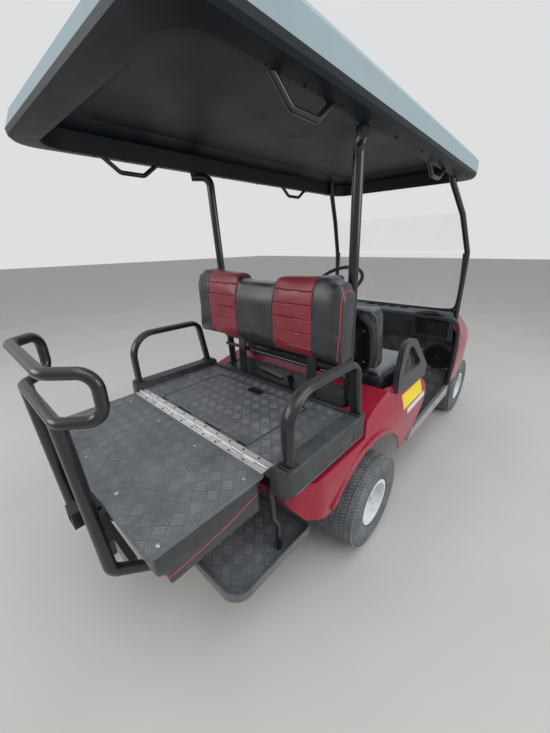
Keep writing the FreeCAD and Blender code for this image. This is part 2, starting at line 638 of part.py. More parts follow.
def dash():
    """The dash moulding: two glove pockets in its face and four cup holders in its top."""
    top_front = TOE_BOARD_AHEAD - FOOTWELL_WALL
    dash_top = COWL_TOP - 5.0
    profile = [(DASH_FACE + 40.0, DASH_BASE), (DASH_FACE, dash_top),
               (top_front, dash_top), (top_front, DASH_BASE)]
    width = (-DASH_HALF_WIDTH - 10.0, DASH_HALF_WIDTH + 10.0)

    def narrowed(shape, inset):
        front = both_sides([(DASH_HALF_WIDTH, DASH_BASE - 40.0), (DASH_HALF_WIDTH, dash_top)])
        end_form = front_prism(front, (DASH_FACE - 20.0, TOE_BOARD_AHEAD), (1.0, 40.0, 40.0, 1.0), inset)
        shape = shape.common(plan_prism(dash_plan(), (DASH_BASE - 40.0, COWL_TOP), 1.0, inset)).common(end_form)
        return below_shoulders(shape, BODY_WALL + DASH_GAP + inset)

    outer = narrowed(side_prism(profile, width, 14.0), 0.0)
    hollow = side_prism(profile, width, 14.0, POCKET_WALL)
    hollow = hollow.fuse(box(width, (DASH_FACE + 90.0, top_front - POCKET_WALL), (DASH_BASE, DASH_BASE + 20.0)))
    shell = outer.cut(narrowed(hollow, POCKET_WALL))
    linings = []
    voids = []
    pockets = (
        # centre x, half width, base z, top z, depth
        (395.0, 112.0, COWL_TOP - 161.0, COWL_TOP - 34.0, 100.0),
        (-75.0, 100.0, COWL_TOP - 145.0, COWL_TOP - 65.0, 110.0),
    )
    for centre, half, base, top, depth in pockets:
        back = DASH_FACE + depth
        mouth = DASH_FACE - 20.0
        lining = box((centre - half - POCKET_WALL, centre + half + POCKET_WALL),
                     (DASH_FACE, back + POCKET_WALL), (base - POCKET_WALL, top + POCKET_WALL))
        linings.append(lining.common(outer))
        opening = [(centre - half, base), (centre + half, base), (centre + half, top), (centre - half, top)]
        voids.append(front_prism(opening, (mouth, back), 26.0))
    for x in (-135.0, -45.0, 45.0, 135.0):
        centre = place(x, DASH_FACE + 170.0, dash_top - CUP_DEPTH - POCKET_WALL)
        linings.append(Part.makeCylinder(CUP_RADIUS + POCKET_WALL, CUP_DEPTH + POCKET_WALL, centre))
        voids.append(Part.makeCylinder(CUP_RADIUS, CUP_DEPTH + 1.0, centre + V(0, 0, POCKET_WALL)))
    whole = fused([shell] + linings)
    whole = whole.cut(Part.makeCompound(voids[:2])).cut(Part.makeCompound(voids[2:]))
    column = rod(COLUMN_RADIUS + 6.0, steering_centre(), steering_centre() + steering_axis() * 700.0)
    return whole.cut(column)


def steering_column():
    """The column tube from the footwell wall up to the steering wheel's hub."""
    axis = steering_axis()
    start = steering_centre() + axis * 40.0
    reach = (TOE_BOARD_AHEAD - FOOTWELL_WALL - STEERING_WHEEL_AHEAD) / math.cos(COLUMN_TILT)
    body = rod(COLUMN_RADIUS, start, steering_centre() + axis * (reach + 30.0))
    wall = TOE_BOARD_AHEAD - FOOTWELL_WALL
    body = body.cut(box((-COWL_HALF_WIDTH, COWL_HALF_WIDTH), (wall, wall + 200.0), (0.0, ROOF_BASE)))
    return body.cut(rod(COLUMN_SHAFT_RADIUS + RUNNING_CLEARANCE, start, start + axis * 80.0))


def steering_wheel():
    """A three-spoke steering wheel with a short shaft down into the column."""
    axis = steering_axis()
    centre = steering_centre()
    rim = Part.makeTorus(STEERING_RIM_RADIUS, STEERING_RIM_GRIP, centre, axis)
    hub_rear = centre + axis * 4.0
    hub = rod(40.0, hub_rear, hub_rear + axis * 24.0)
    shaft = rod(COLUMN_SHAFT_RADIUS, hub_rear, centre + axis * 100.0)
    across = V(1, 0, 0)
    upward = across.cross(axis)
    spokes = []
    for angle in (0.0, 180.0, 270.0):
        turn = math.radians(angle)
        tip = centre + (across * math.cos(turn) + upward * math.sin(turn)) * STEERING_RIM_RADIUS
        spokes.append(rod(8.0, hub_rear + axis * 10.0, tip))
    return fused([rim, hub, shaft] + spokes)


def pedals():
    """Brake and accelerator pads on short arms from the toe board."""
    table = (
        # x, half width, pad base z, pad height
        (-300.0, 45.0, FLOOR_TOP + 125.0, 90.0),
        (-165.0, 30.0, FLOOR_TOP + 110.0, 120.0),
    )
    solids = []
    wall = TOE_BOARD_AHEAD - FOOTWELL_WALL
    for x, half, base, height in table:
        top = base + height
        pad = box((x - half, x + half), (wall - 90.0, wall - 78.0), (base, top))
        arm = box((x - 8.0, x + 8.0), (wall - 80.0, wall), (top - 26.0, top - 8.0))
        solids.append(fused([pad, arm]))
    return Part.makeCompound(solids)


def body_solid(inset):
    """The outer form of the rear body as three outlines that cut each other."""
    side = [
        (-340.0, BODY_TOP - 295.0), (-462.0, BODY_TOP - 254.0), (BODY_REAR, BODY_TOP - 170.0),
        (BODY_REAR, BODY_DECK_SEAT), (BODY_STEP, BODY_DECK_SEAT), (BODY_STEP + 43.0, BODY_TOP - 32.0),
        (60.0, BODY_TOP), (190.0, BODY_TOP + 30.0), (600.0, BODY_TOP - 38.0), (648.0, BODY_TOP - 75.0),
        (655.0, BODY_TOP - 180.0), (500.0, FLOOR_TOP + 7.0), (373.0, FLOOR_TOP - 35.0), (0.0, FLOOR_TOP - 5.0),
    ]
    side_bends = (20.0, 60.0, 60.0, 7.0, 7.0, 20.0, 60.0, 150.0, 60.0, 40.0, 120.0, 200.0, 10.0, 10.0)
    front = both_sides([(BODY_LIP_X - 10.0, FLOOR_TOP - 55.0), (BODY_LIP_X + 6.0, BODY_TOP - 140.0),
                        (BODY_SHOULDER_X, BODY_TOP), (BODY_SHOULDER_X, BODY_TOP + 60.0)])
    plan = both_sides([(BODY_LIP_X - 62.0, BODY_REAR), (BODY_LIP_X, -400.0), (BODY_LIP_X + 6.0, 0.0),
                       (BODY_LIP_X, 700.0)])
    wide = BODY_LIP_X + 20.0
    shape = side_prism(side, (-wide, wide), side_bends, inset)
    shape = shape.common(front_prism(front, (BODY_REAR - 20.0, 700.0),
                                     (10.0, 350.0, 200.0, 10.0, 10.0, 200.0, 350.0, 10.0), inset))
    return shape.common(plan_prism(plan, (FLOOR_TOP - 95.0, BODY_TOP + 100.0),
                                   (50.0, 120.0, 60.0, 10.0, 10.0, 60.0, 120.0, 50.0), inset))


def rear_body():
    """The rear body shell with flared arches, a seat well and a hole for the storage tub."""
    shell = body_solid(0.0)
    core = body_solid(BODY_WALL)
    below = core.copy()
    below.translate(V(0, 0, -4 * BODY_WALL))
    shell = shell.cut(core).cut(below)
    above = BODY_TOP + 100.0
    kit_half = BORDER_INNER_X - 6.0
    kit_rear, kit_front = BODY_STEP - 6.0, UPRIGHT_BACK + 30.0
    kit_room = box((-kit_half, kit_half), (kit_rear, kit_front), (BODY_DECK_SEAT, above))
    shelf = box((-kit_half - BODY_WALL, kit_half + BODY_WALL), (kit_rear, kit_front + BODY_WALL),
                (BODY_DECK_SEAT - BODY_WALL, above)).common(body_solid(0.0))
    shell = fused([shell, shelf]).cut(kit_room)
    seat_well = box((-SEAT_WELL_HALF, SEAT_WELL_HALF), (SEAT_WELL_REAR, 700.0), (SEAT_PAN_Z, above))
    pan_half = SEAT_WELL_HALF + BODY_WALL
    seat_pan = box((-pan_half, pan_half), (SEAT_WELL_REAR - BODY_WALL, SEAT_CUSHION_FRONT),
                   (SEAT_PAN_Z - BODY_WALL, SEAT_PAN_Z + 28.0))
    seat_pan = seat_pan.common(body_solid(0.0))
    shell = fused([shell, seat_pan]).cut(seat_well)
    engine_access = box((-300.0, 300.0), (SEAT_CUSHION_REAR + 44.0, SEAT_CUSHION_FRONT - 80.0),
                        (SEAT_PAN_Z - 10.0, SEAT_PAN_Z + 5.0))
    hole_half = LID_HALF_WIDTH + 12.0
    tub_hole = box((-hole_half, hole_half), (LID_REAR - 10.0, LID_FRONT + 12.0),
                   (TUB_BASE - 5.0, BODY_DECK_SEAT + 32.0))
    shell = shell.cut(engine_access).cut(tub_hole)
    arch_centre = place(REAR_ARCH_INNER, REAR_ARCH_AHEAD, REAR_ARCH_Z)
    arch = Part.makeCylinder(REAR_ARCH_RADIUS, BODY_LIP_X, arch_centre, V(1, 0, 0))
    shell = shell.cut(arch).cut(mirrored(arch))
    flare_start = place(BODY_LIP_X - 16.0, REAR_ARCH_AHEAD, REAR_ARCH_Z)
    flare_depth = 24.0
    rim = Part.makeCylinder(REAR_ARCH_RADIUS + FLARE_WIDTH, flare_depth, flare_start, V(1, 0, 0))
    outer_edge = [edge for edge in rim.Edges if edge.isClosed() and edge.CenterOfMass.x > BODY_LIP_X]
    flare = rim.makeFillet(flare_depth / 3, outer_edge)
    flare = flare.cut(Part.makeCylinder(REAR_ARCH_RADIUS, flare_depth, flare_start, V(1, 0, 0)))
    flare = flare.common(box((BODY_LIP_X - 60.0, BODY_LIP_X + 60.0), (-395.0, 370.0), (432.0, BODY_DECK_SEAT)))
    return fused([shell, flare, mirrored(flare)])


def engine_block():
    """The power unit as one plain block above and behind the rear axle."""
    return box((-210.0, 20.0), (-400.0, -120.0), (RAIL_BASE + RAIL_HEIGHT, TUB_BASE - 25.0))


def cushion(x, distance, z, corner):
    """A plain pad: a block with rounded edges."""
    pad = box(x, distance, z)
    return pad.makeFillet(corner, pad.Edges)


def front_seat_cushion():
    return cushion((-SEAT_CUSHION_HALF, SEAT_CUSHION_HALF), (SEAT_CUSHION_REAR, SEAT_CUSHION_FRONT),
                   (SEAT_PAN_Z + SOFT_CLEARANCE, SEAT_CUSHION_TOP), 34.0)


def front_seat_back():
    """The front backrest, leaning back on its shell."""
    pad = cushion((-SEAT_BACK_HALF, SEAT_BACK_HALF), (0.0, SEAT_BACK_DEPTH), (0.0, SEAT_BACK_HEIGHT), 30.0)
    pad.rotate(place(0, 0, 0), V(1, 0, 0), SEAT_LEAN)
    pad.translate(V(0, SEAT_BACK_FOOT[0], SEAT_BACK_FOOT[1]))
    return pad


def seat_brackets():
    """Flat steel uprights that hold the front backrest above the body."""
    thickness = 8.0
    low, high = BODY_TOP - 10.0, SEAT_BACK_FOOT[1] + SEAT_BACK_HEIGHT - 72.0
    profile = []
    for z, back in ((low, 0.0), (high, 0.0), (high, thickness), (low, thickness)):
        face = SEAT_BACK_FOOT[0] - (z - SEAT_BACK_FOOT[1]) * math.tan(math.radians(SEAT_LEAN))
        profile.append((face - SOFT_CLEARANCE - back, z))
    return pair(trimmed(side_prism(profile, (330.0, 370.0), 1.0), body_solid(0.0)))


def hip_restraint():
    """A side hoop for the front seat: a moulded panel on the body's side with a rounded hole."""
    base = BODY_TOP - 12.0
    outline = [(244.0, base), (234.0, base + 112.0), (262.0, base + 250.0), (395.0, base + 252.0),
               (640.0, base + 44.0), (636.0, base - 26.0)]
    hole = [(277.0, base + 82.0), (322.0, base + 217.0), (368.0, base + 217.0), (538.0, base + 80.0)]
    x = (BODY_SHOULDER_X - 6.0, BODY_SHOULDER_X - 6.0 + HIP_PANEL_WIDTH)
    panel = side_prism(outline, x, (6.0, 100.0, 42.0, 100.0, 20.0, 6.0))
    panel = panel.cut(side_prism(hole, (x[0] - 1.0, x[1] + 1.0), (14.0, 14.0, 22.0, 14.0)))
    return trimmed(panel, body_solid(0.0))


def kit_frame():
    """The welded frame of the rear seat: deck rails, uprights and the footrest's legs."""
    rail_z = (BODY_DECK_SEAT, DECK_TOP - DECK_THICKNESS)
    rear, front = HINGE_AHEAD + 12.0, UPRIGHT_BACK + 26.0
    shapes = []
    for side in (LEFT, RIGHT):
        rail = sorted((side * 400.0, side * 440.0))
        shapes.append(box(rail, (rear, front), rail_z))
        upright = sorted((side * 212.0, side * 262.0))
        shapes.append(box(upright, (UPRIGHT_BACK, UPRIGHT_BACK + 8.0), (rail_z[0], REAR_BACK_BASE + 200.0)))
        leg = [place(side * 424.0, -536.0, rail_z[0] + 10.0), place(side * 424.0, -536.0, rail_z[0] - 60.0),
               place(side * 424.0, -530.0, 450.0), place(side * 424.0, -504.0, 390.0),
               place(side * 424.0, -504.0, TRAY_BASE + TRAY_FLOOR)]
        shapes.append(tube(leg, 50.0, 12.0))
    for distance in (rear + 10.0, UPRIGHT_BACK + 4.0):
        shapes.append(box((-410.0, 410.0), (distance - 10.0, distance + 10.0), rail_z))
    return fused(shapes)


def lid_hinge_parts(radius, length, offset):
    """Barrels of one size along the lid's hinge axis, in groups about three places."""
    barrels = []
    for centre in (-200.0, 0.0, 200.0):
        for side in ((-1, 1) if offset else (1,)):
            middle = centre + side * offset
            barrels.append(rod(radius, place(middle - length / 2, LID_HINGE_AHEAD, LID_HINGE_Z),
                               place(middle + length / 2, LID_HINGE_AHEAD, LID_HINGE_Z)))
    return barrels


def rear_deck():
    """The fixed platform with its hatch hole and the storage tub that hangs in it."""
    board = box((-BORDER_INNER_X, BORDER_INNER_X), (HINGE_AHEAD + 6.0, DECK_FRONT),
                (DECK_TOP - DECK_THICKNESS, DECK_TOP))
    board = board.cut(leaf_bed(DECK_TOP, False))
    hole_half = LID_HALF_WIDTH + LID_GAP
    hole = (LID_HINGE_AHEAD - LID_BARREL_RADIUS - 1.0, LID_FRONT + LID_GAP)
    ledge_z = DECK_TOP - LID_THICKNESS - 1.0
    tub = box((-hole_half + 4.0, hole_half - 4.0), (hole[0] + 4.0, hole[1] - 4.0), (TUB_BASE, ledge_z))
    cavity = box((-hole_half + 20.0, hole_half - 20.0), (hole[0] + 20.0, hole[1] - 20.0),
                 (TUB_BASE + TUB_WALL, DECK_TOP))
    rebate = box((-hole_half, hole_half), hole, (ledge_z, DECK_TOP))
    base = fused([board, tub]).cut(cavity).cut(rebate)
    carriers = lid_hinge_parts(LID_BARREL_RADIUS, 18.0, 40.0)
    for carrier in lid_hinge_parts(LID_BARREL_RADIUS, 18.0, 40.0):
        bounds = carrier.BoundBox
        carriers.append(Part.makeBox(bounds.XLength, LID_BARREL_RADIUS + 2.0, LID_BARREL_RADIUS,
                                     V(bounds.XMin, ahead(LID_HINGE_AHEAD) - LID_BARREL_RADIUS - 2.0,
                                       LID_HINGE_Z - LID_BARREL_RADIUS)))
    pins = lid_hinge_parts(HINGE_PIN_RADIUS, 98.0, 0.0)
    return fused([base] + carriers + pins)


def deck_lid():
    """The hatch lid, hinged along its rear edge, with a finger slot near its front edge."""
    base = DECK_TOP - LID_THICKNESS
    rear = LID_HINGE_AHEAD + LID_BARREL_RADIUS
    outline = [(-LID_HALF_WIDTH, rear - 60.0), (LID_HALF_WIDTH, rear - 60.0), (LID_HALF_WIDTH, LID_FRONT),
               (-LID_HALF_WIDTH, LID_FRONT)]
    lid = plan_prism(outline, (base, DECK_TOP), 60.0)
    lid = lid.cut(box((-400.0, 400.0), (rear - 100.0, rear), (0.0, 1000.0)))
    slot = both_sides([(-34.0, LID_FRONT - 36.0), (-34.0, LID_FRONT - 14.0)])
    lid = lid.cut(plan_prism(slot, (DECK_TOP - 6.0, DECK_TOP + 1.0), 10.0))
    barrels = lid_hinge_parts(LID_BARREL_RADIUS, 60.0, 0.0)
    webs = []
    for barrel in barrels:
        bounds = barrel.BoundBox
        webs.append(Part.makeBox(60.0, LID_BARREL_RADIUS + 1.0, LID_BARREL_RADIUS,
                                 V((bounds.XMin + bounds.XMax) / 2 - 30.0, ahead(LID_HINGE_AHEAD),
                                   LID_HINGE_Z - LID_BARREL_RADIUS)))
    bores = lid_hinge_parts(HINGE_PIN_RADIUS + RUNNING_CLEARANCE, 70.0, 0.0)
    return fused([lid] + barrels + webs).cut(Part.makeCompound(bores))


def deck_border():
    """The moulded border along both sides of the deck and across its front edge."""
    inner, outer = BORDER_INNER_X, BORDER_OUTER_X
    rear, front = HINGE_AHEAD - 12.0, DECK_FRONT + 25.0
    section = [(inner, BORDER_SKIRT), (inner, DECK_TOP + 2.0), (inner + 16.0, BORDER_TOP), (outer, BORDER_TOP),
               (outer, BORDER_SKIRT)]
    side = front_prism(section, (rear, front), (1.0, 4.0, 6.0, 8.0, 2.0))
    plan = [(inner, rear), (outer, rear), (outer, front), (inner, front)]
    side = side.common(plan_prism(plan, (BORDER_SKIRT, BORDER_TOP), (12.0, 45.0, 26.0, 4.0)))
    foot = plan_prism([(inner, rear + 10.0), (BODY_SHOULDER_X, rear + 10.0), (BODY_SHOULDER_X, DECK_FRONT + 8.0),
                       (inner, DECK_FRONT + 8.0)], (BODY_DECK_SEAT + BORDER_GAP, BORDER_SKIRT + 8.0), 8.0)
    lip = box((-inner - 10.0, inner + 10.0), (DECK_FRONT, DECK_FRONT + 8.0),
              (DECK_TOP - DECK_THICKNESS, DECK_TOP + 14.0))
    side = fused([side, foot])
    return fused([side, mirrored(side), lip])


def leaf_bed(top, moving):
    """The shallow bed that holds one hinge leaf flush with a surface, as high as the surface."""
    near = HINGE_BARREL_RADIUS + 1.0
    span = sorted(HINGE_AHEAD + (-1 if moving else 1) * reach for reach in (near, near + HINGE_LEAF_WIDTH))
    half = PANEL_HALF_WIDTH - HINGE_END
    return box((-half, half), span, (top - HINGE_LEAF, top))


def hinge_leaf(moving):
    """One leaf of the long piano hinge with every second knuckle, and the pin on the fixed leaf."""
    half = PANEL_HALF_WIDTH - HINGE_END
    pitch = 2 * half / HINGE_KNUCKLES
    top = PANEL_TOP if moving else DECK_TOP
    near = HINGE_BARREL_RADIUS + 2.0
    web = sorted((HINGE_AHEAD, HINGE_AHEAD + (-near if moving else near)))
    shapes = [leaf_bed(top, moving)]
    for index in range(1 if moving else 0, HINGE_KNUCKLES, 2):
        low = index * pitch - half + 0.5
        high = low + pitch - 1.0
        shapes.append(rod(HINGE_BARREL_RADIUS, place(low, HINGE_AHEAD, HINGE_Z),
                          place(high, HINGE_AHEAD, HINGE_Z)))
        shapes.append(box((low, high), web, (top - HINGE_LEAF, top)))
    ends = place(-half, HINGE_AHEAD, HINGE_Z), place(half, HINGE_AHEAD, HINGE_Z)
    leaf = fused(shapes).cut(rod(HINGE_PIN_RADIUS + RUNNING_CLEARANCE, *ends))
    if moving:
        return leaf
    caps = [rod(HINGE_BARREL_RADIUS, place(side * half, HINGE_AHEAD, HINGE_Z),
                place(side * (half + 2.0), HINGE_AHEAD, HINGE_Z)) for side in (LEFT, RIGHT)]
    return fused([leaf, rod(HINGE_PIN_RADIUS, *ends)] + caps)


def cargo_panel():
    """The board that carries the rear seat cushion, folded out as a cargo deck."""
    half = PANEL_HALF_WIDTH
    front = HINGE_AHEAD - HINGE_BARREL_RADIUS - 2.0
    outline = [(-half, front), (half, front), (half, PANEL_REAR), (-half, PANEL_REAR)]
    board = plan_prism(outline, (PANEL_TOP - PANEL_THICKNESS, PANEL_TOP), 26.0)
    return board.cut(leaf_bed(PANEL_TOP, True))


def rear_seat_cushion():
    """The rear seat cushion, hanging upside down under the folded-out board."""
    top = PANEL_TOP - PANEL_THICKNESS - SOFT_CLEARANCE
    base = top - REAR_CUSHION_THICKNESS
    rear, front = PANEL_REAR + 14.0, HINGE_AHEAD - 24.0
    profile = [(rear, top), (front, top), (front, base), (rear + 82.0, base), (rear + 40.0, base + 60.0)]
    pad = side_prism(profile, (-REAR_CUSHION_HALF, REAR_CUSHION_HALF), 18.0)
    rims = [edge for edge in pad.Edges if edge.BoundBox.XLength < 1.0]
    return pad.makeFillet(12.0, rims)


def rear_seat_back():
    """The rear backrest on its two uprights, facing backwards."""
    front = UPRIGHT_BACK - SOFT_CLEARANCE
    return cushion((-REAR_BACK_HALF, REAR_BACK_HALF), (front - REAR_BACK_DEPTH, front),
                   (REAR_BACK_BASE, REAR_BACK_TOP), 30.0)


def arm_hoop():
    """A side hoop of flat-oval tube standing on the deck's border."""
    x = BORDER_OUTER_X - HOOP_HALF_WIDTH - 7.0
    hidden = BORDER_TOP - 25.0
    route = path([place(x, -541.0, hidden), place(x, -546.0, BORDER_TOP + 239.0),
                  place(x, -155.0, BORDER_TOP + 237.0), place(x, -107.0, hidden)], (0.0, 112.0, 55.0, 0.0))
    start = route.Vertexes[0].Point
    along = route.Edges[0].tangentAt(route.Edges[0].FirstParameter)
    across = along.cross(V(1, 0, 0))
    oval = Part.Ellipse(start + V(HOOP_HALF_WIDTH, 0, 0), start + across * HOOP_HALF_DEPTH, start)
    hoop = route.makePipeShell([Part.Wire(oval.toShape())], True, False)
    below = box((0.0, 2 * x), (-800.0, 100.0), (BORDER_TOP - 200.0, BORDER_TOP))
    half_width, half_length = HOOP_HALF_WIDTH + 3.0, HOOP_HALF_DEPTH + 9.0
    feet = [plan_prism([(x - half_width, foot - half_length), (x + half_width, foot - half_length),
                        (x + half_width, foot + half_length), (x - half_width, foot + half_length)],
                       (BORDER_TOP, BORDER_TOP + 6.0), 10.0)
            for foot in (-541.0, -112.0)]
    return fused([trimmed(hoop, below)] + feet)


def footrest_tray():
    """The moulded footrest with a raised lip, on the rails behind the rear axle."""
    half = TRAY_HALF_WIDTH
    lip = 6.0
    outline = [(-half, TRAY_REAR), (half, TRAY_REAR), (half, TRAY_FRONT), (-half, TRAY_FRONT)]
    bends = (70.0, 70.0, 28.0, 28.0)
    tray = plan_prism(outline, (TRAY_BASE, TRAY_BASE + TRAY_LIP), bends)
    return tray.cut(plan_prism(outline, (TRAY_BASE + TRAY_FLOOR, TRAY_BASE + TRAY_LIP + 20.0), bends, lip))


def grab_bar():
    """Two posts behind the footrest, two cross tubes and a rounded handle at each end."""
    radius = GRAB_TUBE_RADIUS
    rear = -REAR_OVERHANG + radius
    post_rear = -REAR_OVERHANG + GRAB_POST_RADIUS
    tip = (GRAB_POST_X + 98.0, rear + 88.0)
    bend_x = GRAB_POST_X + 20.0
    shapes = []
    for side in (LEFT, RIGHT):
        loop = [place(0, rear, GRAB_UPPER), place(side * bend_x, rear, GRAB_UPPER),
                place(side * tip[0], tip[1], GRAB_UPPER - 4.0), place(side * tip[0], tip[1], GRAB_LOWER + 4.0),
                place(side * bend_x, rear, GRAB_LOWER), place(0, rear, GRAB_LOWER)]
        shapes.append(tube(loop, 44.0, radius))
        post = [place(side * GRAB_POST_X, post_rear, GRAB_LOWER),
                place(side * GRAB_POST_X, post_rear + 20.0, 420.0),
                place(side * GRAB_POST_X, TRAY_REAR - GRAB_POST_RADIUS - 2.0, TRAY_BASE - 11.0)]
        shapes.append(tube(post, 60.0, GRAB_POST_RADIUS))
    plate_front = post_rear + 50.0
    for low, high, front in ((HITCH_Z - 90.0, HITCH_Z - HITCH_HALF, plate_front),
                             (345.0, 400.0, plate_front + 50.0)):
        shapes.append(box((-GRAB_POST_X, GRAB_POST_X), (front - 25.0, front), (low, high)))
    return trimmed(fused(shapes), chassis_frame())


def hitch_receiver():
    """A square receiver tube on the grab bar's cross plate, with a round pin hole."""
    wall = 6.0
    inner = HITCH_HALF - wall
    rear = -REAR_OVERHANG
    front = rear + 100.0
    body = box((-HITCH_HALF, HITCH_HALF), (rear, front), (HITCH_Z - HITCH_HALF, HITCH_Z + HITCH_HALF))
    body = body.cut(box((-inner, inner), (rear, front), (HITCH_Z - inner, HITCH_Z + inner)))
    pin = rod(HITCH_PIN_RADIUS, place(-HITCH_HALF, HITCH_PIN_AHEAD, HITCH_Z),
              place(HITCH_HALF, HITCH_PIN_AHEAD, HITCH_Z))
    return body.cut(pin)


def roof_outline(z, inset, rake=0.0):
    """The roof's plan outline at one height, drawn in all round and further at the rear."""
    rear, front = ROOF_REAR + inset + rake, ROOF_FRONT - inset
    points = [(-ROOF_HALF_REAR + inset, rear), (ROOF_HALF_REAR - inset, rear),
              (ROOF_HALF_FRONT - inset, front), (-ROOF_HALF_FRONT + inset, front)]
    return path([place(x, distance, z) for x, distance in points], ROOF_CORNER, True)


def ledge_z():
    """Height of the ledges under the roof's sides, its lowest land."""
    return ROOF_BASE - ROOF_LEDGE_DROP


def roof():
    """The moulded roof: an edge band, a ledge all round below it, a domed top and a recess."""
    low = ledge_z()
    levels = (
        # height, drawn in all round, further at the rear
        (low, ROOF_LEDGE, 0.0),
        (low + 6.0, 10.0, 0.0),
        (low + 16.0, 2.0, 0.0),
        (ROOF_BASE, 0.0, 0.0),
        (ROOF_BASE + 56.0, 0.0, ROOF_REAR_RAKE),
        (ROOF_BASE + 82.0, 22.0, ROOF_REAR_RAKE),
        (ROOF_BASE + 104.0, 130.0, ROOF_REAR_RAKE),
    )
    outer = Part.makeLoft([roof_outline(*level) for level in levels], True, True)
    inner = ROOF_LEDGE + ROOF_LEDGE_WIDTH
    ceiling = ROOF_BASE + ROOF_RECESS
    recess = Part.makeLoft([roof_outline(low - 1.0, inner), roof_outline(ceiling, inner + 16.0),
                            roof_outline(ceiling + 22.0, inner + 110.0)], True, True)
    return outer.cut(recess)


def roof_half(distance):
    """Half the roof's width at a distance ahead of the rear axle."""
    share = (distance - ROOF_REAR) / (ROOF_FRONT - ROOF_REAR)
    return ROOF_HALF_REAR + (ROOF_HALF_FRONT - ROOF_HALF_REAR) * share


def roof_handles():
    """Bent grab handles under the ledges of the roof's sides."""
    low = ledge_z()
    drop = 45.0
    lean = 60.0
    above = box((-ROOF_HALF_REAR, ROOF_HALF_REAR), (ROOF_REAR, ROOF_FRONT), (low, low + 100.0))
    handles = []
    for start, end in ((-532.0, -310.0), (520.0, 742.0)):
        x = roof_half((start + end) / 2) - ROOF_LEDGE - ROOF_LEDGE_WIDTH / 2
        points = [place(x, start - lean / 3, low + drop / 3), place(x, start + lean, low - drop),
                  place(x, end - lean, low - drop), place(x, end + lean / 3, low + drop / 3)]
        handle = trimmed(tube(points, 30.0, 9.0), above)
        handles.append(handle)
        handles.append(mirrored(handle))
    return Part.makeCompound(handles)


def rear_posts():
    """The rear roof posts, bent outwards at the top to a pad under the roof's side ledge."""
    run_z = ledge_z() - POST_RADIUS
    tip_ahead = -128.0
    tip_x = roof_half(tip_ahead) - ROOF_LEDGE - ROOF_LEDGE_WIDTH / 2
    post = tube([place(398.0, 10.0, BODY_TOP - 40.0), place(404.0, -60.0, run_z),
                 place(tip_x + 6.0, tip_ahead, run_z)], 40.0, POST_RADIUS)
    pad = box((tip_x - 20.0, tip_x + 6.0), (tip_ahead - 4.0, tip_ahead + 26.0), (run_z, ledge_z()))
    return pair(trimmed(trimmed(fused([post, pad]), roof()), body_solid(0.0)))


STRUT_BASE = (490.0, WHEELBASE - 331.0, COWL_TOP - 75.0)
STRUT_KNEE = (490.0, WHEELBASE - 366.0, ROOF_BASE - 438.0)
STRUT_SHOULDER = (450.0, WHEELBASE - 488.0, ROOF_BASE - 213.0)
STRUT_NECK = (400.0, WHEELBASE - 629.0, ROOF_BASE - 45.0)


def front_struts():
    """Bent struts from the cowl's top up to the roof."""
    top = place(STRUT_NECK[0] - 12.0, STRUT_NECK[1] - 35.0, ROOF_BASE + ROOF_RECESS + 20.0)
    points = [place(*STRUT_BASE), place(*STRUT_KNEE), place(*STRUT_SHOULDER), place(*STRUT_NECK), top]
    return pair(trimmed(trimmed(tube(points, 90.0, STRUT_RADIUS), roof()), cowl_solid(0.0)))


def glass_pane(foot, head, start, end, half_width):
    """A flat pane on the front of the struts, along part of one straight run."""
    along = V(0, head[1] - foot[1], head[2] - foot[2])
    out = V(0, along.z, -along.y).normalize()
    near = out * (STRUT_RADIUS + SOFT_CLEARANCE)
    far = near + out * GLASS_THICKNESS
    low = V(0, foot[1], foot[2]) + along * start
    high = V(0, foot[1], foot[2]) + along * end
    corners = [low + near, high + near, high + far, low + far]
    return side_prism([(corner.y, corner.z) for corner in corners], (-half_width, half_width), 0.4)


def windshield():
    """Two clear panes in front of the struts, the upper one leaning back."""
    lower = glass_pane(STRUT_BASE, STRUT_KNEE, 0.21, 0.985, STRUT_BASE[0])
    upper = glass_pane(STRUT_KNEE, STRUT_SHOULDER, 0.035, 1.0, STRUT_SHOULDER[0] + 8.0)
    return Part.makeCompound([lower, upper])


SINGLE_PIECES = {
    "chassis_frame": chassis_frame,
    "rear_axle": rear_axle,
    "leaf_springs": leaf_springs,
    "front_axle": front_axle,
    "tie_rod": tie_rod,
    "engine_block": engine_block,
    "floor_pan": floor_pan,
    "sill_trims": sill_trims,
    "front_cowl": front_cowl,
    "front_bumper": front_bumper,
    "headlamps": headlamps,
    "dash": dash,
    "steering_column": steering_column,
    "steering_wheel": steering_wheel,
    "pedals": pedals,
    "rear_body": rear_body,
    "front_seat_cushion": front_seat_cushion,
    "front_seat_back": front_seat_back,
    "seat_brackets": seat_brackets,
    "kit_frame": kit_frame,
    "rear_deck": rear_deck,
    "deck_lid": deck_lid,
    "deck_border": deck_border,
    "cargo_panel": cargo_panel,
    "rear_seat_cushion": rear_seat_cushion,
    "rear_seat_back": rear_seat_back,
    "footrest_tray": footrest_tray,
    "grab_bar": grab_bar,
    "hitch_receiver": hitch_receiver,
    "roof": roof,
    "roof_handles": roof_handles,
    "rear_posts": rear_posts,
    "front_struts": front_struts,
    "windshield": windshield,
}

for name, make in SINGLE_PIECES.items():
    export(name, make())

export("hinge_fixed_leaf", hinge_leaf(False))
export("hinge_moving_leaf", hinge_leaf(True))

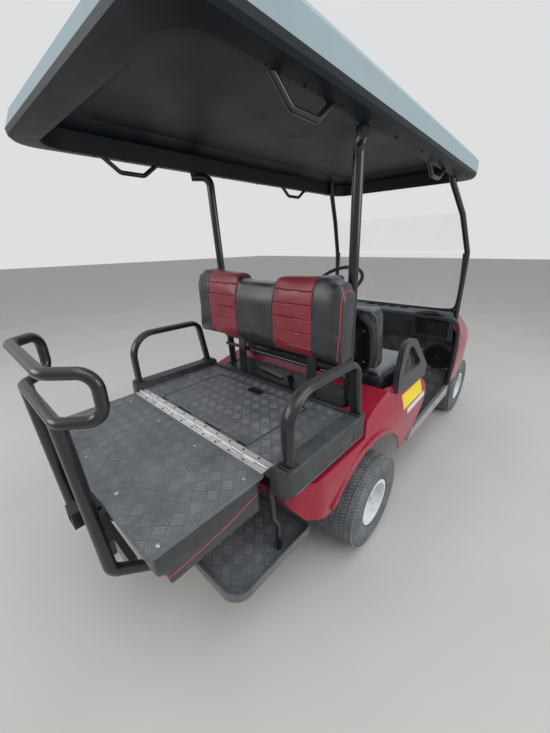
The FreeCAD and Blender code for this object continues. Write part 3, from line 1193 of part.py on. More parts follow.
for word, side in (("left", LEFT), ("right", RIGHT)):
    export("knuckle_" + word, knuckle(side))
    hip = hip_restraint()
    hoop = arm_hoop()
    export("hip_restraint_" + word, hip if side == RIGHT else mirrored(hip))
    export("arm_hoop_" + word, hoop if side == RIGHT else mirrored(hoop))
    for end, distance, tread in (("rear", 0.0, REAR_TREAD), ("front", WHEELBASE, FRONT_TREAD)):
        export("tyre_" + end + "_" + word, tyre(side * tread / 2, distance))
        export("wheel_" + end + "_" + word, wheel(side * tread / 2, distance, side))
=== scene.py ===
import math

import bmesh
import bpy
from mathutils import Matrix, Vector


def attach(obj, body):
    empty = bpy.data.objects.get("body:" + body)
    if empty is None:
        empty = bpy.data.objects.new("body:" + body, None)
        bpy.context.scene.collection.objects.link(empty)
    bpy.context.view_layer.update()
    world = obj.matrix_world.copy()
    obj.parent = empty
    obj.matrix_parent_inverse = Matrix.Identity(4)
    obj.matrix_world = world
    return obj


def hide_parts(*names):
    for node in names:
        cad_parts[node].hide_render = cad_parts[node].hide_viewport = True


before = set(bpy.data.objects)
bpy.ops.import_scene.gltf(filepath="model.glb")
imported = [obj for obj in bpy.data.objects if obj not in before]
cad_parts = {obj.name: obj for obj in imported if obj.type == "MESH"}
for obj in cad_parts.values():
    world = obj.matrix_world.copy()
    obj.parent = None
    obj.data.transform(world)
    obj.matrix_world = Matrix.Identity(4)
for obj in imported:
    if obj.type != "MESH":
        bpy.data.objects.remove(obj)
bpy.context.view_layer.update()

# The cart's own places: ahead() counts from the rear axle, as the maker's drawings would.
REAR_AXLE_Y = -0.499


def ahead(distance):
    return REAR_AXLE_Y + distance


# Camera: it stands where the photograph was taken, behind the cart and to its right.
# Its place and turn were found from the cart's own lines in the photograph.
CAMERA_PLACE = (1.00867, ahead(-1.1405), 1.37421)
CAMERA_YAW, CAMERA_PITCH, CAMERA_ROLL = 0.745197108, 0.376154196, 0.0178629276
FOCAL_PIXELS, SENSOR_MM, PHOTO_HEIGHT = 308.827886, 36, 733
look = Vector((-math.sin(CAMERA_YAW) * math.cos(CAMERA_PITCH),
               math.cos(CAMERA_YAW) * math.cos(CAMERA_PITCH), -math.sin(CAMERA_PITCH)))
level = Vector((math.cos(CAMERA_YAW), math.sin(CAMERA_YAW), 0))
down = look.cross(level)
rightward = level * math.cos(CAMERA_ROLL) + down * math.sin(CAMERA_ROLL)
downward = down * math.cos(CAMERA_ROLL) - level * math.sin(CAMERA_ROLL)
camera = bpy.data.objects.new("photograph_camera", bpy.data.cameras.new("photograph_camera"))
bpy.context.collection.objects.link(camera)
camera.matrix_world = (Matrix.Translation(CAMERA_PLACE)
                       @ Matrix((rightward, -downward, -look)).transposed().to_4x4())
camera.data.sensor_fit = "AUTO"
camera.data.lens = FOCAL_PIXELS * SENSOR_MM / PHOTO_HEIGHT
camera.data.clip_start = 0.02
bpy.context.scene.camera = camera
bpy.context.scene.view_settings.view_transform = "Standard"

# Frame, axles, springs and steering linkage.
# Painted and bare steel under the cart, dulled by road dust; the solids' own shapes stay.
# The wrapper below lets a finish be written as arithmetic on shader sockets.


class Shade:
    """One shader socket; Python's arithmetic on it adds Math nodes."""

    def __init__(self, tree, socket):
        self.tree = tree
        self.socket = socket

    def math(self, operation, *values):
        node = self.tree.nodes.new("ShaderNodeMath")
        node.operation = operation
        for slot, value in zip(node.inputs, values):
            if isinstance(value, Shade):
                self.tree.links.new(value.socket, slot)
            else:
                slot.default_value = value
        return Shade(self.tree, node.outputs[0])

    def __add__(self, other):
        return self.math("ADD", self, other)

    __radd__ = __add__

    def __sub__(self, other):
        return self.math("SUBTRACT", self, other)

    def __rsub__(self, other):
        return self.math("SUBTRACT", other, self)

    def __mul__(self, other):
        return self.math("MULTIPLY", self, other)

    __rmul__ = __mul__

    def above(self, edge):
        return self.math("GREATER_THAN", self, edge)

    def clip(self):
        node = self.tree.nodes.new("ShaderNodeClamp")
        self.tree.links.new(self.socket, node.inputs[0])
        return Shade(self.tree, node.outputs[0])


class Finish:
    """A material whose constants sit on the shader and whose varying values are links."""

    def __init__(self, name, **constants):
        self.material = bpy.data.materials.new(name)
        self.material.use_nodes = True
        self.tree = self.material.node_tree
        self.shader = self.tree.nodes["Principled BSDF"]
        for words, value in constants.items():
            self.shader.inputs[words.replace("_", " ")].default_value = value

    def node(self, kind, settings=None, out=0, **sockets):
        node = self.tree.nodes.new("ShaderNode" + kind)
        for words, value in (settings or {}).items():
            setattr(node, words, value)
        for words, value in sockets.items():
            slot = node.inputs[int(words[1:]) if words[0] == "_" else words.replace("_", " ")]
            if isinstance(value, Shade):
                self.tree.links.new(value.socket, slot)
            elif isinstance(value, tuple) and len(value) == 3 and slot.type == "RGBA":
                slot.default_value = (*value, 1)
            else:
                slot.default_value = value
        return Shade(self.tree, node.outputs[out])

    def place(self, scale=(1, 1, 1)):
        return self.node("Mapping", Vector=self.node("TexCoord", out="Object"), Scale=scale)

    def axes(self, vector=None):
        parts = self.node("SeparateXYZ", Vector=vector or self.place()).socket.node.outputs
        return [Shade(self.tree, part) for part in parts]

    def facing(self):
        """How far the surface faces up, from -1 to 1."""
        return self.axes(self.node("TexCoord", out="Normal"))[2]

    def noise(self, scale, detail=3.0, rough=0.5, vector=None):
        return self.node("TexNoise", Vector=vector or self.place(), Scale=scale, Detail=detail,
                         Roughness=rough)

    def cells(self, scale):
        return self.node("TexVoronoi", Vector=self.place(), Scale=scale)

    def spread(self, value, low, high, to_low=0.0, to_high=1.0):
        """A value's stretch from low to high, carried over to another stretch."""
        return self.node("MapRange", Value=value, From_Min=low, From_Max=high, To_Min=to_low, To_Max=to_high)

    def mix(self, factor, first, second):
        return self.node("Mix", {"data_type": "RGBA"}, out=2, _0=factor, _6=first, _7=second)

    def patches(self, low, high, *noise):
        """Noise drawn apart into patches."""
        return self.spread(self.noise(*noise), low, high)

    def settled(self, low, high, share, *noise):
        """Dust on what faces up, its edge broken by noise."""
        return self.spread(self.facing().clip() + self.noise(*noise) * share, low, high)

    def bump(self, height, distance, strength, over=None):
        more = {"Normal": over} if over else {}
        return self.node("Bump", Height=height, Distance=distance, Strength=strength, **more)

    def grain(self, distance, strength, *noise):
        """A bump from noise."""
        return self.bump(self.noise(*noise), distance, strength)

    def show(self, colour=None, rough=None, relief=None, **others):
        """Link what varies to the shader."""
        for words, value in {"Base_Color": colour, "Roughness": rough, "Normal": relief, **others}.items():
            if value:
                self.tree.links.new(value.socket, self.shader.inputs[words.replace("_", " ")])
        return self.material


def dress(material, *nodes):
    """Give CAD nodes a finish."""
    for name in nodes:
        mesh = bpy.data.objects[name].data
        mesh.materials.clear()
        mesh.materials.append(material)


def worn_steel(name, colour, dust, roughness, grit, metal=0.0):
    """Painted steel with dust on top and scuffed patches."""
    steel = Finish(name, Metallic=metal, Specular_IOR_Level=0.4)
    patches = steel.patches(0.45, 0.7, 9.0, 6.0, 0.65)
    settled = steel.settled(0.5, 1.3, 0.4, 40.0, 4.0)
    film = (patches * 0.35 + settled * 0.6).clip() * grit
    colour = steel.mix(film, colour, dust)
    rough = roughness + film * 0.3 + steel.noise(120.0) * 0.08
    return steel.show(colour, rough, steel.grain(0.0003, 0.5, 700.0, 2.0))


dusty_chassis = worn_steel("dusty_chassis_paint", (0.022, 0.022, 0.023), (0.16, 0.14, 0.12), 0.5, 0.8)
bare_steel = worn_steel("bare_dusty_steel", (0.09, 0.08, 0.075), (0.2, 0.17, 0.14), 0.55, 0.9, 0.3)
dress(dusty_chassis, "chassis_frame", "front_axle")
dress(bare_steel, "rear_axle", "leaf_springs", "knuckle_left", "knuckle_right", "tie_rod", "engine_block")

# Tyres: low wide turf tyres on all four corners.
# Moulded rubber with raised bead rings and rows of low slanting bars, greyed by dust.
# One carcass is turned ring by ring, then its bars are set round the tread.
UP = (0, 0, 1)
AXLE_HEIGHT = 0.2285


def mode(word):
    bpy.ops.object.mode_set(mode=word)


def only(*objects):
    """In object mode, select these, or the roof when none is named, and make the first one active."""
    objects = objects or [bpy.data.objects["roof"]]
    if bpy.context.object and bpy.context.object.mode != "OBJECT":
        mode("OBJECT")
    bpy.ops.object.select_all(action="DESELECT")
    for item in objects:
        item.select_set(True)
    bpy.context.view_layer.objects.active = objects[0]


def joined(*pieces):
    """The pieces joined into the first one."""
    only(*pieces)
    if len(pieces) > 1:
        bpy.ops.object.join()
    return bpy.context.object


def settle(name, material=None, sharp=30, body=None):
    """Name the active piece, put its place into its mesh, smooth it by angle and fasten it."""
    piece = bpy.context.object
    only(piece)
    if piece.type != "MESH":
        bpy.ops.object.convert(target="MESH")
        piece = bpy.context.object
    bpy.ops.object.transform_apply()
    bpy.ops.object.shade_smooth_by_angle(angle=math.radians(sharp))
    piece.name = name
    piece.data.name = name
    if material:
        piece.data.materials.append(material)
    if body:
        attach(piece, body)
    return piece


def block(spot, sides, turn=(0, 0, 0)):
    """A box with its place put into its mesh."""
    only()
    bpy.ops.mesh.primitive_cube_add(size=1, location=spot, scale=sides, rotation=turn)
    bpy.ops.object.transform_apply()
    return bpy.context.object


def pick(piece, kind, test):
    """Edit a piece with just the faces or edges selected that a test accepts."""
    if piece.mode != "EDIT":
        only(piece)
        mode("EDIT")
    bpy.ops.mesh.select_mode(type=kind)
    bpy.ops.mesh.select_all(action="DESELECT")
    shape = bmesh.from_edit_mesh(piece.data)
    for part in shape.faces if kind == "FACE" else shape.edges:
        if test(part):
            part.select_set(True)
    bmesh.update_edit_mesh(piece.data)


def pick_faces(piece, facing, least=0.9):
    """Edit a piece with the faces selected that look one way."""
    pick(piece, "FACE", lambda face: face.normal.dot(facing) > least)


def pull(*move):
    """Extrude what is picked."""
    bpy.ops.mesh.extrude_region_move(TRANSFORM_OT_translate={"value": move})


def moved(piece, matrix):
    """Leave edit mode and carry a whole mesh by a matrix."""
    only(piece)
    piece.data.transform(matrix)


def outward():
    """Turn the active piece's faces outwards."""
    mode("EDIT")
    bpy.ops.mesh.select_all(action="SELECT")
    bpy.ops.mesh.normals_make_consistent()
    mode("OBJECT")


def turned(centre, rings, segments=72):
    """A turned shape about X: a circle drawn out from ring to ring of (along, radius)."""
    only()
    start, radius = rings[0]
    bpy.ops.mesh.primitive_circle_add(vertices=segments, radius=radius, rotation=(0, math.pi / 2, 0),
                                      location=(centre[0] + start, centre[1], centre[2]))
    bpy.ops.object.transform_apply()
    mode("EDIT")
    bpy.ops.mesh.select_mode(type="VERT")
    bpy.ops.mesh.select_all(action="SELECT")
    for along, reach in rings[1:]:
        pull(along - start, 0, 0)
        grow = reach / radius
        bpy.ops.transform.resize(value=(1, grow, grow), center_override=centre)
        start, radius = along, reach
    bpy.ops.mesh.select_all(action="SELECT")
    bpy.ops.mesh.remove_doubles(threshold=0.00002)
    outward()
    return bpy.context.object


def about_x(centre, angle):
    """A turn about an X axis through a centre."""
    return (Matrix.Translation(centre) @ Matrix.Rotation(angle, 4, "X")
            @ Matrix.Translation(-Vector(centre)))


def around(piece, centre, count):
    """Copies of a piece set round an X axis through a centre, joined into it."""
    only(piece)
    copies = [piece]
    for index in range(1, count):
        copy = piece.copy()
        copy.data = piece.data.copy()
        bpy.context.collection.objects.link(copy)
        copy.data.transform(about_x(centre, math.tau * index / count))
        copies.append(copy)
    return joined(*copies)


def patchy(name, colours, patches, share, roughness, rise, grain=None, **constants):
    """A finish whose second colour and rougher feel come in patches."""
    finish = Finish(name, **constants)
    worn = finish.patches(*patches)
    return finish.show(finish.mix(worn * share, *colours), worn * rise + roughness,
                       finish.grain(*grain) if grain else None)


ROAD_FILM = (0.32, 0.72, 14.0, 5.0, 0.7), 0.8, 0.7, 0.2, (0.0004, 0.6, 420.0, 4.0)
tyre_rubber, bar_rubber = (patchy(name, colours, *ROAD_FILM, Specular_IOR_Level=0.3) for name, colours in (
    ("dusty_tyre_rubber", ((0.092, 0.102, 0.109), (0.235, 0.245, 0.248))),
    ("rubbed_tread_bars", ((0.15, 0.162, 0.17), (0.31, 0.32, 0.32)))))

TYRE_CARCASS = (
    # along the axle, radius
    (-0.0867, 0.103), (-0.0867, 0.114), (-0.093, 0.1215), (-0.0975, 0.1225), (-0.1005, 0.129),
    (-0.1055, 0.145), (-0.1078, 0.162), (-0.107, 0.176), (-0.1045, 0.19), (-0.1035, 0.1925),
    (-0.104, 0.194), (-0.101, 0.2045), (-0.0955, 0.212), (-0.086, 0.2195), (-0.064, 0.2215),
    (-0.061, 0.219), (-0.057, 0.219), (-0.054, 0.2222), (-0.018, 0.2232), (-0.015, 0.2195),
    (-0.011, 0.2195), (-0.008, 0.2235), (0.0, 0.2237),
)
LUG_ROWS = [(side * across, *row) for side, across, *row in (
    # side, place across the tread, radius of its foot, length, skew in degrees, shift of the row
    (-1, 0.088, 0.217, 0.019, 24.0, 0.5), (-1, 0.069, 0.22, 0.02, -28.0, 0.0),
    (-1, 0.046, 0.2215, 0.022, 28.0, 0.5), (-1, 0.024, 0.222, 0.02, -28.0, 0.0),
    (1, 0.0, 0.2225, 0.022, 28.0, 0.5))]
LUG_ROWS += [(-across, *row) for across, *row in reversed(LUG_ROWS[:-1])]
LUGS_ROUND = 88
LUG_WIDTH, LUG_DEPTH, LUG_LIFT = 0.0084, 0.006, 0.0016
WHEEL_PLACES = (
    # end and side, centre of the tyre across the cart, distance ahead
    ("rear_left", -0.489, 0.0), ("rear_right", 0.489, 0.0),
    ("front_left", -0.438, 1.664), ("front_right", 0.438, 1.664),
)


def make_tyre(place, x, distance):
    centre = (x, ahead(distance), AXLE_HEIGHT)
    rings = list(TYRE_CARCASS) + [(-along, radius) for along, radius in reversed(TYRE_CARCASS[:-1])]
    carcass = turned(centre, rings + [rings[0]], 84)
    carcass.data.materials.append(tyre_rubber)
    rows = []
    for across, foot, length, skew, shift in LUG_ROWS:
        spot = (x + across, centre[1], centre[2] + foot + LUG_LIFT)
        lug = block(spot, (length, LUG_WIDTH, LUG_DEPTH), (0, 0, math.radians(skew)))
        pick_faces(lug, UP)
        bpy.ops.transform.resize(value=(0.86, 0.8, 1), center_override=spot)
        moved(lug, about_x(centre, math.tau * shift / LUGS_ROUND))
        lug.data.materials.append(bar_rubber)
        rows.append(around(lug, centre, LUGS_ROUND))
    joined(carcass, *rows)
    piece = settle("treaded_tyre_" + place, sharp=35)
    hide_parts("tyre_" + place)
    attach(piece, "wheel_" + place)


for place, wheel_x, distance in WHEEL_PLACES:
    make_tyre(place, wheel_x, distance)

# Wheels: pressed steel rims painted white, each with four nuts, a dust cap and a valve.
# The rims are the solids; nuts are six-sided with a turned seat, and dust sits in the dish.
NUT_REACH, VALVE_REACH = 0.0508, 0.086
CAP_RINGS = ((0.05, 0.03), (0.058, 0.03), (0.064, 0.026), (0.068, 0.018), (0.07, 0.008), (0.0702, 0.0005))


def speckled(name, scale, first, second, detail=3.0, **constants):
    """A finish that wanders between two colours."""
    finish = Finish(name, **constants)
    return finish.show(finish.mix(finish.noise(scale, detail), first, second))


white_rim = patchy("white_rim_paint", ((0.84, 0.88, 0.9), (0.42, 0.4, 0.36)), (0.48, 0.78, 26.0, 5.0, 0.7),
                   0.5, 0.35, 0.4, (0.0002, 0.4, 300.0), Coat_Weight=0.2, Coat_Roughness=0.3)
zinc = patchy("zinc_nuts", ((0.48, 0.47, 0.45), (0.16, 0.09, 0.055)), (0.5, 0.7, 160.0, 4.0),
              1.0, 0.38, 0.35, Metallic=0.9)
cap_plastic = speckled("black_cap_plastic", 60.0, (0.02, 0.02, 0.021), (0.06, 0.057, 0.053), Roughness=0.5)
dress(white_rim, *("wheel_" + place for place, wheel_x, distance in WHEEL_PLACES))


def rod(sides, radius, length, spot=(0, 0, 0), turn=(0, 0, 0)):
    """A many-sided rod with its place put into its mesh."""
    only()
    bpy.ops.mesh.primitive_cylinder_add(vertices=sides, radius=radius, depth=length, location=spot,
                                        rotation=turn)
    bpy.ops.object.transform_apply()
    return bpy.context.object


def stepped(*moves):
    """Work what is picked step by step: a number insets it, a triple moves it."""
    for move in moves:
        if isinstance(move, tuple):
            bpy.ops.transform.translate(value=move)
        else:
            bpy.ops.mesh.inset(thickness=move)


def make_wheel_trim(place, wheel_x, distance):
    side = math.copysign(1.0, wheel_x)
    centre = (wheel_x, ahead(distance), AXLE_HEIGHT)
    face = wheel_x + side * 0.026
    body = "wheel_" + place
    nut = rod(6, 0.0115, 0.016, (face + side * 0.008, centre[1] + NUT_REACH, centre[2]), (0, math.pi / 2, 0))
    pick_faces(nut, (side, 0, 0))
    stepped(0.0035, (side * 0.0025, 0, 0), 0.0015)
    pull(side * 0.006, 0, 0)
    around(nut, centre, 4)
    settle("wheel_nuts_" + place, zinc, 30, body)
    turned(centre, [(side * along, radius) for along, radius in CAP_RINGS], 36)
    settle("hub_cap_" + place, cap_plastic, 50, body)
    stem = rod(14, 0.0042, 0.034, (face + side * 0.018, centre[1], centre[2] + VALVE_REACH),
               (0, math.pi / 2 - side * 0.5, 0))
    pick_faces(stem, (side, 0, 0), 0.6)
    pull(side * 0.001, 0, 0)
    bpy.ops.transform.resize(value=(0.8, 0.8, 0.8))
    pull(side * 0.008, 0, side * 0.002)
    settle("valve_" + place, cap_plastic, 30, body)


for place, wheel_x, distance in WHEEL_PLACES:
    make_wheel_trim(place, wheel_x, distance)

# Body panels: the one-piece front cowl and the rear body with its wheel arches.
# Moulded plastic painted a deep red under a clear coat; dust lies on the flat tops and low down.
paint = Finish("deep_red_body_paint", Coat_Roughness=0.03, Coat_IOR=1.35, Specular_IOR_Level=0.3)
paint_height = paint.axes()[2]
low_dirt = paint.spread(paint_height + paint.noise(7.0, 5.0) * 0.12, 0.36, 0.52, 1.0, 0.0)
top_dust = paint.settled(1.05, 1.6, 0.6, 16.0, 6.0, 0.7)
paint_dust = (low_dirt.clip() * 0.16 + top_dust.clip() * 0.05).clip()
red_depth = paint.mix(paint.noise(2.2, 2.0), (0.3, 0.009, 0.03), (0.37, 0.014, 0.042))
candy_red = paint.show(paint.mix(paint_dust, red_depth, (0.26, 0.17, 0.14)), 0.24 + paint_dust * 0.5,
                       paint.grain(0.0004, 0.25, 34.0, 2.0), Coat_Weight=(0.38 - paint_dust * 1.3).clip())
dress(candy_red, "front_cowl", "rear_body")

# Black mouldings and tubes: border, bumper, dash, hip restraints and every painted bar.
# The plastic has a fine leather grain and is greyed by rubbing; the steel has chipped gloss paint.


def grained_plastic(name, colour, worn, roughness, wear=0.5, grain=900.0):
    plastic = Finish(name, Specular_IOR_Level=0.45)
    scuffs = plastic.patches(0.42, 0.74, 14.0, 7.0, 0.72) * wear
    fine = plastic.cells(grain)
    settled = plastic.settled(0.7, 1.4, 0.5, 30.0, 4.0) * wear
    film = (scuffs * 0.7 + settled * 0.5).clip()
    return plastic.show(plastic.mix(film, colour, worn), roughness + film * 0.22,
                        plastic.bump(fine, 0.00025, 0.5, over=plastic.grain(0.0006, 0.2, 60.0, 2.0)))


border_black = grained_plastic("dusty_border_plastic", (0.028, 0.032, 0.036), (0.125, 0.132, 0.138), 0.42,
                               0.8)
cab_black = grained_plastic("cab_black_plastic", (0.034, 0.04, 0.046), (0.11, 0.118, 0.122), 0.36, 0.6)
dress(border_black, "deck_border", "front_bumper")
dress(cab_black, "dash", "hip_restraint_left", "hip_restraint_right")

gloss = Finish("gloss_black_tube_paint", Coat_Roughness=0.12, Specular_IOR_Level=0.5)
chips = gloss.patches(0.66, 0.74, 42.0, 6.0, 0.72)
tube_dust = gloss.settled(0.6, 1.3, 0.4, 25.0, 4.0)
tube_film = (chips * 0.5 + tube_dust * 0.35).clip()
black_tube = gloss.show(gloss.mix(tube_film, (0.012, 0.013, 0.015), (0.13, 0.125, 0.12)),
                        0.28 + tube_film * 0.4, gloss.grain(0.0003, 0.5, 150.0, 3.0),
                        Coat_Weight=0.35 - tube_film * 0.3)
dress(black_tube, "kit_frame", "seat_brackets", "grab_bar", "hitch_receiver", "rear_posts", "front_struts",
      "steering_column", "pedals", "arm_hoop_left", "arm_hoop_right", "roof_handles")

# Floor: a pressed pan under a ribbed rubber mat, with step-over trims along both sills.
# The pan and toe board are one piece; the trims are brushed aluminium, scratched by shoes.
mat = Finish("ribbed_floor_rubber", Specular_IOR_Level=0.3)
floor_x = mat.axes()[0]
mat_ribs = floor_x.math("SINE", floor_x * 420.0)
floor_dirt = mat.patches(0.4, 0.7, 9.0, 7.0, 0.7)
mat_rubber = mat.show(mat.mix(floor_dirt, (0.055, 0.06, 0.065), (0.19, 0.19, 0.185)),
                      0.6 + floor_dirt * 0.25, mat.bump(mat_ribs, 0.0008, 0.7))
dress(mat_rubber, "floor_pan")


def brushed(name, colours, stretch, scale, patches, roughness, rise, strength, metal):
    """Bare metal with streaks drawn out one way and dirt in patches."""
    finish = Finish(name, Metallic=metal)
    streaks = finish.noise(scale, 4.0, 0.6, finish.place(scale=stretch))
    dirt = finish.patches(*patches)
    return finish.show(finish.mix(dirt * 0.6, *colours), streaks * 0.2 + dirt * rise + roughness,
                       finish.bump(streaks, 0.0003, strength))


sill_bright = brushed("brushed_sill_aluminium", ((0.55, 0.55, 0.54), (0.24, 0.22, 0.19)), (1, 0.04, 1), 160.0,
                      (0.45, 0.72, 12.0, 6.0, 0.7), 0.3, 0.25, 0.5, 0.85)
dress(sill_bright, "sill_trims")

# Lamps and windscreen: clear mouldings in the nose and two clear panes on the struts.
# Polycarbonate, a little hazy; the lamps look like bright reflectors under ribbed covers.
lens = Finish("ribbed_lamp_cover", Coat_Roughness=0.05, Coat_Weight=0.8)
lamp_x = lens.axes()[0]
flutes = lamp_x.math("SINE", lamp_x * 560.0)
lamp_clear = lens.show(lens.mix(flutes * 0.5 + 0.5, (0.34, 0.35, 0.36), (0.72, 0.73, 0.74)),
                       0.12 + flutes * 0.05, lens.bump(flutes, 0.0008, 0.8), Metallic=0.5 + flutes * 0.2)
dress(lamp_clear, "headlamps")
pane = Finish("clear_pane", Roughness=0.02, IOR=1.49, Base_Color=(0.95, 0.97, 0.97, 1))
clear_pane = pane.show(Alpha=pane.spread(pane.noise(5.0, 6.0, 0.7), 0.35, 0.85, 0.03, 0.1))
dress(clear_pane, "windshield")

# Roof: a moulded shell with a pale edge and top and a dark grained underside, both partly painted light.
# Twin-sheet plastic that chalks a little in the sun; the recess below is dark right up its walls, partly as
# painted shade.
skin = Finish("roof_plastic_with_painted_light", Specular_IOR_Level=0.3)
RECESS_HALF, RECESS_REAR, RECESS_FRONT, RECESS_TOP = 0.46, ahead(-0.77), ahead(1.19), 1.803
roof_x, roof_y, roof_z = skin.axes()
# The recess, the band below the rim's light/dark line and faces looking down get the dark colour: dark
# plastic with painted shade on it.
in_recess = (roof_x.math("LESS_THAN", roof_x * roof_x, RECESS_HALF ** 2) * roof_y.above(RECESS_REAR)
             * (RECESS_FRONT - roof_y).above(0.0) * (RECESS_TOP - roof_z).above(0.0))
below_edge = skin.spread(roof_z, 1.7375, 1.7385, 1.0, 0.0)
under = (below_edge + (skin.facing() * -1.0).above(0.75) + in_recess).clip()
chalk = skin.patches(0.4, 0.75, 4.0, 7.0, 0.7)
# The pale colour's bluish tint is a painted sky reflection.
pale = skin.mix(chalk * 0.4, (0.31, 0.4, 0.43), (0.42, 0.49, 0.51))
dark = skin.mix(chalk, (0.002, 0.006, 0.01), (0.007, 0.013, 0.018))
roof_two_tone_with_painted_light = skin.show(skin.mix(under, pale, dark), 0.38 + chalk * 0.15,
                          skin.grain(0.0004, 0.4, 240.0, 3.0))
dress(roof_two_tone_with_painted_light, "roof")

# Rear platform: the fixed deck, the hatch lid, the folding board and the moulded footrest.
# Structural foam boards, each topped with raised bars in a basket pattern, worn and dusty.
tread = Finish("dusty_tread_plastic", Specular_IOR_Level=0.5, Coat_Weight=0.3, Coat_Roughness=0.3)
tread_dust = tread.patches(0.36, 0.72, 5.0, 8.0, 0.68)
tread_scuff = tread.patches(0.56, 0.74, 46.0, 8.0, 0.75)
ARC_CENTRE, ARC_RADIUS = (0.076, ahead(-0.455), 0.7), 0.07
arc_reach = tread.node("VectorMath", {"operation": "DISTANCE"}, out="Value", Vector=tread.place(),
                       _1=ARC_CENTRE)
front_half = tread.spread(tread.axes()[1], ahead(-0.46), ahead(-0.44))
arc_miss = arc_reach.math("ABSOLUTE", arc_reach - ARC_RADIUS)
rubbed_arc = tread.spread(arc_miss, 0.0, 0.0035, 1.0, 0.0)
scratches = tread.patches(0.58, 0.66, 130.0, 8.0, 0.8)
scratched = tread.spread(arc_reach, 0.05, 0.24, 1.0, 0.0) * scratches
tread_colour = tread.mix(tread_dust * 0.8, (0.095, 0.105, 0.115), (0.2, 0.21, 0.215))
tread_worn = tread.mix((tread_scuff * 0.4 + scratched * 0.8).clip(), tread_colour, (0.46, 0.45, 0.43))
tread_grey = tread.show(tread.mix(rubbed_arc * front_half * 0.9, tread_worn, (0.012, 0.012, 0.013)),
                        0.4 + tread_dust * 0.2, tread.grain(0.0003, 0.5, 500.0, 3.0))
dress(tread_grey, "rear_deck", "deck_lid", "cargo_panel", "footrest_tray")

hinge_bright = brushed("hinge_aluminium", ((0.86, 0.86, 0.84), (0.34, 0.32, 0.28)), (0.05, 1, 1), 300.0,
                       (0.5, 0.72, 30.0, 6.0, 0.7), 0.28, 0.2, 0.4, 0.55)
dress(hinge_bright, "hinge_fixed_leaf", "hinge_moving_leaf")

# Steering wheel: a soft moulded rim and spokes on the column.
# Black rubber-like plastic over a steel core, a little shiny where hands hold it.
wheel_grip = grained_plastic("steering_wheel_rubber", (0.012, 0.012, 0.013), (0.05, 0.05, 0.05), 0.5, 0.4)
dress(wheel_grip, "steering_wheel")

# Seats: two front pads, the rear backrest and the rear cushion under the folded-out board.
# Charcoal vinyl over foam, sewn from panels; the backrest has two red inserts with sewn channels.
# Each starts as joined blocks under one skin that is blown up a little, then seams are pressed in.
vinyl = Finish("charcoal_vinyl", Coat_Weight=0.35, Coat_Roughness=0.25, Specular_IOR_Level=0.5)
vinyl_wear = vinyl.patches(0.42, 0.78, 9.0, 6.0, 0.7)
creases = vinyl.noise(18.0, 3.0, 0.6, vinyl.place(scale=(1, 1, 0.4)))
# Painted reflection: faces looking up are mixed towards a light grey, standing in for the sky caught in the
# glossy vinyl.
painted_top_reflection = vinyl.spread(vinyl.facing().clip(), 0.75, 1.0, 0.0, 0.85)
vinyl_colour = vinyl.mix(vinyl_wear * 0.7, (0.02, 0.022, 0.026), (0.062, 0.067, 0.075))
vinyl_relief = vinyl.bump(vinyl.cells(650.0), 0.0003, 0.5, over=vinyl.bump(creases, 0.002, 0.35))
charcoal_vinyl = vinyl.show(vinyl.mix(painted_top_reflection, vinyl_colour, (0.3, 0.31, 0.32)),
                            0.34 + vinyl_wear * 0.16, vinyl_relief)
red = Finish("red_vinyl", Coat_Weight=0.15, Coat_Roughness=0.3, Specular_IOR_Level=0.5)
red_wear = red.patches(0.42, 0.75, 12.0, 6.0, 0.7)
red_vinyl = red.show(red.mix(red_wear * 0.6, (0.27, 0.022, 0.036), (0.36, 0.055, 0.066)),
                     0.36 + red_wear * 0.14, red.bump(red.cells(650.0), 0.0003, 0.5))
seam_thread = speckled("seam_thread", 500.0, (0.018, 0.018, 0.02), (0.07, 0.07, 0.075), Roughness=0.7)
red_piping = speckled("red_piping", 60.0, (0.42, 0.03, 0.045), (0.55, 0.07, 0.08), Coat_Weight=0.2,
                      Coat_Roughness=0.3, Roughness=0.4)
CLOTH = {"quality": 5, "mass": 0.3, "tension_stiffness": 18, "compression_stiffness": 18,
         "bending_stiffness": 2.5, "use_pressure": True, "uniform_pressure_force": 4.0}
CLOTH_FRAMES = 20


def modify(piece, kind, **settings):
    """Add a modifier to a piece and apply it."""
    only(piece)
    modifier = piece.modifiers.new(kind.lower(), kind)
    for words, value in settings.items():
        setattr(modifier, words, value)
    bpy.ops.object.modifier_apply(modifier=modifier.name)


def puffed(blocks, cell, cap, rounds=5):
    """Joined blocks under one smooth skin, blown up by no more than the cap."""
    piece = joined(*[block((Vector(low) + Vector(high)) / 2, Vector(high) - Vector(low))
                     for low, high in blocks])
    modify(piece, "REMESH", mode="VOXEL", voxel_size=cell)
    modify(piece, "SMOOTH", factor=0.7, iterations=rounds)
    before = [point.co.copy() for point in piece.data.vertices]
    cloth = piece.modifiers.new("cover", "CLOTH")
    for words, value in CLOTH.items():
        setattr(cloth.settings, words, value)
    cloth.settings.effector_weights.gravity = 0
    cloth.collision_settings.use_collision = False
    cloth.point_cache.frame_end = CLOTH_FRAMES
    for moment in range(1, CLOTH_FRAMES + 1):
        bpy.context.scene.frame_set(moment)
    bpy.ops.object.modifier_apply(modifier=cloth.name)
    bpy.context.scene.frame_set(1)
    for point, start in zip(piece.data.vertices, before):
        move = point.co - start
        if move.length > cap:
            point.co = start + move.normalized() * cap
    modify(piece, "SUBSURF", levels=1, render_levels=1)
    return piece


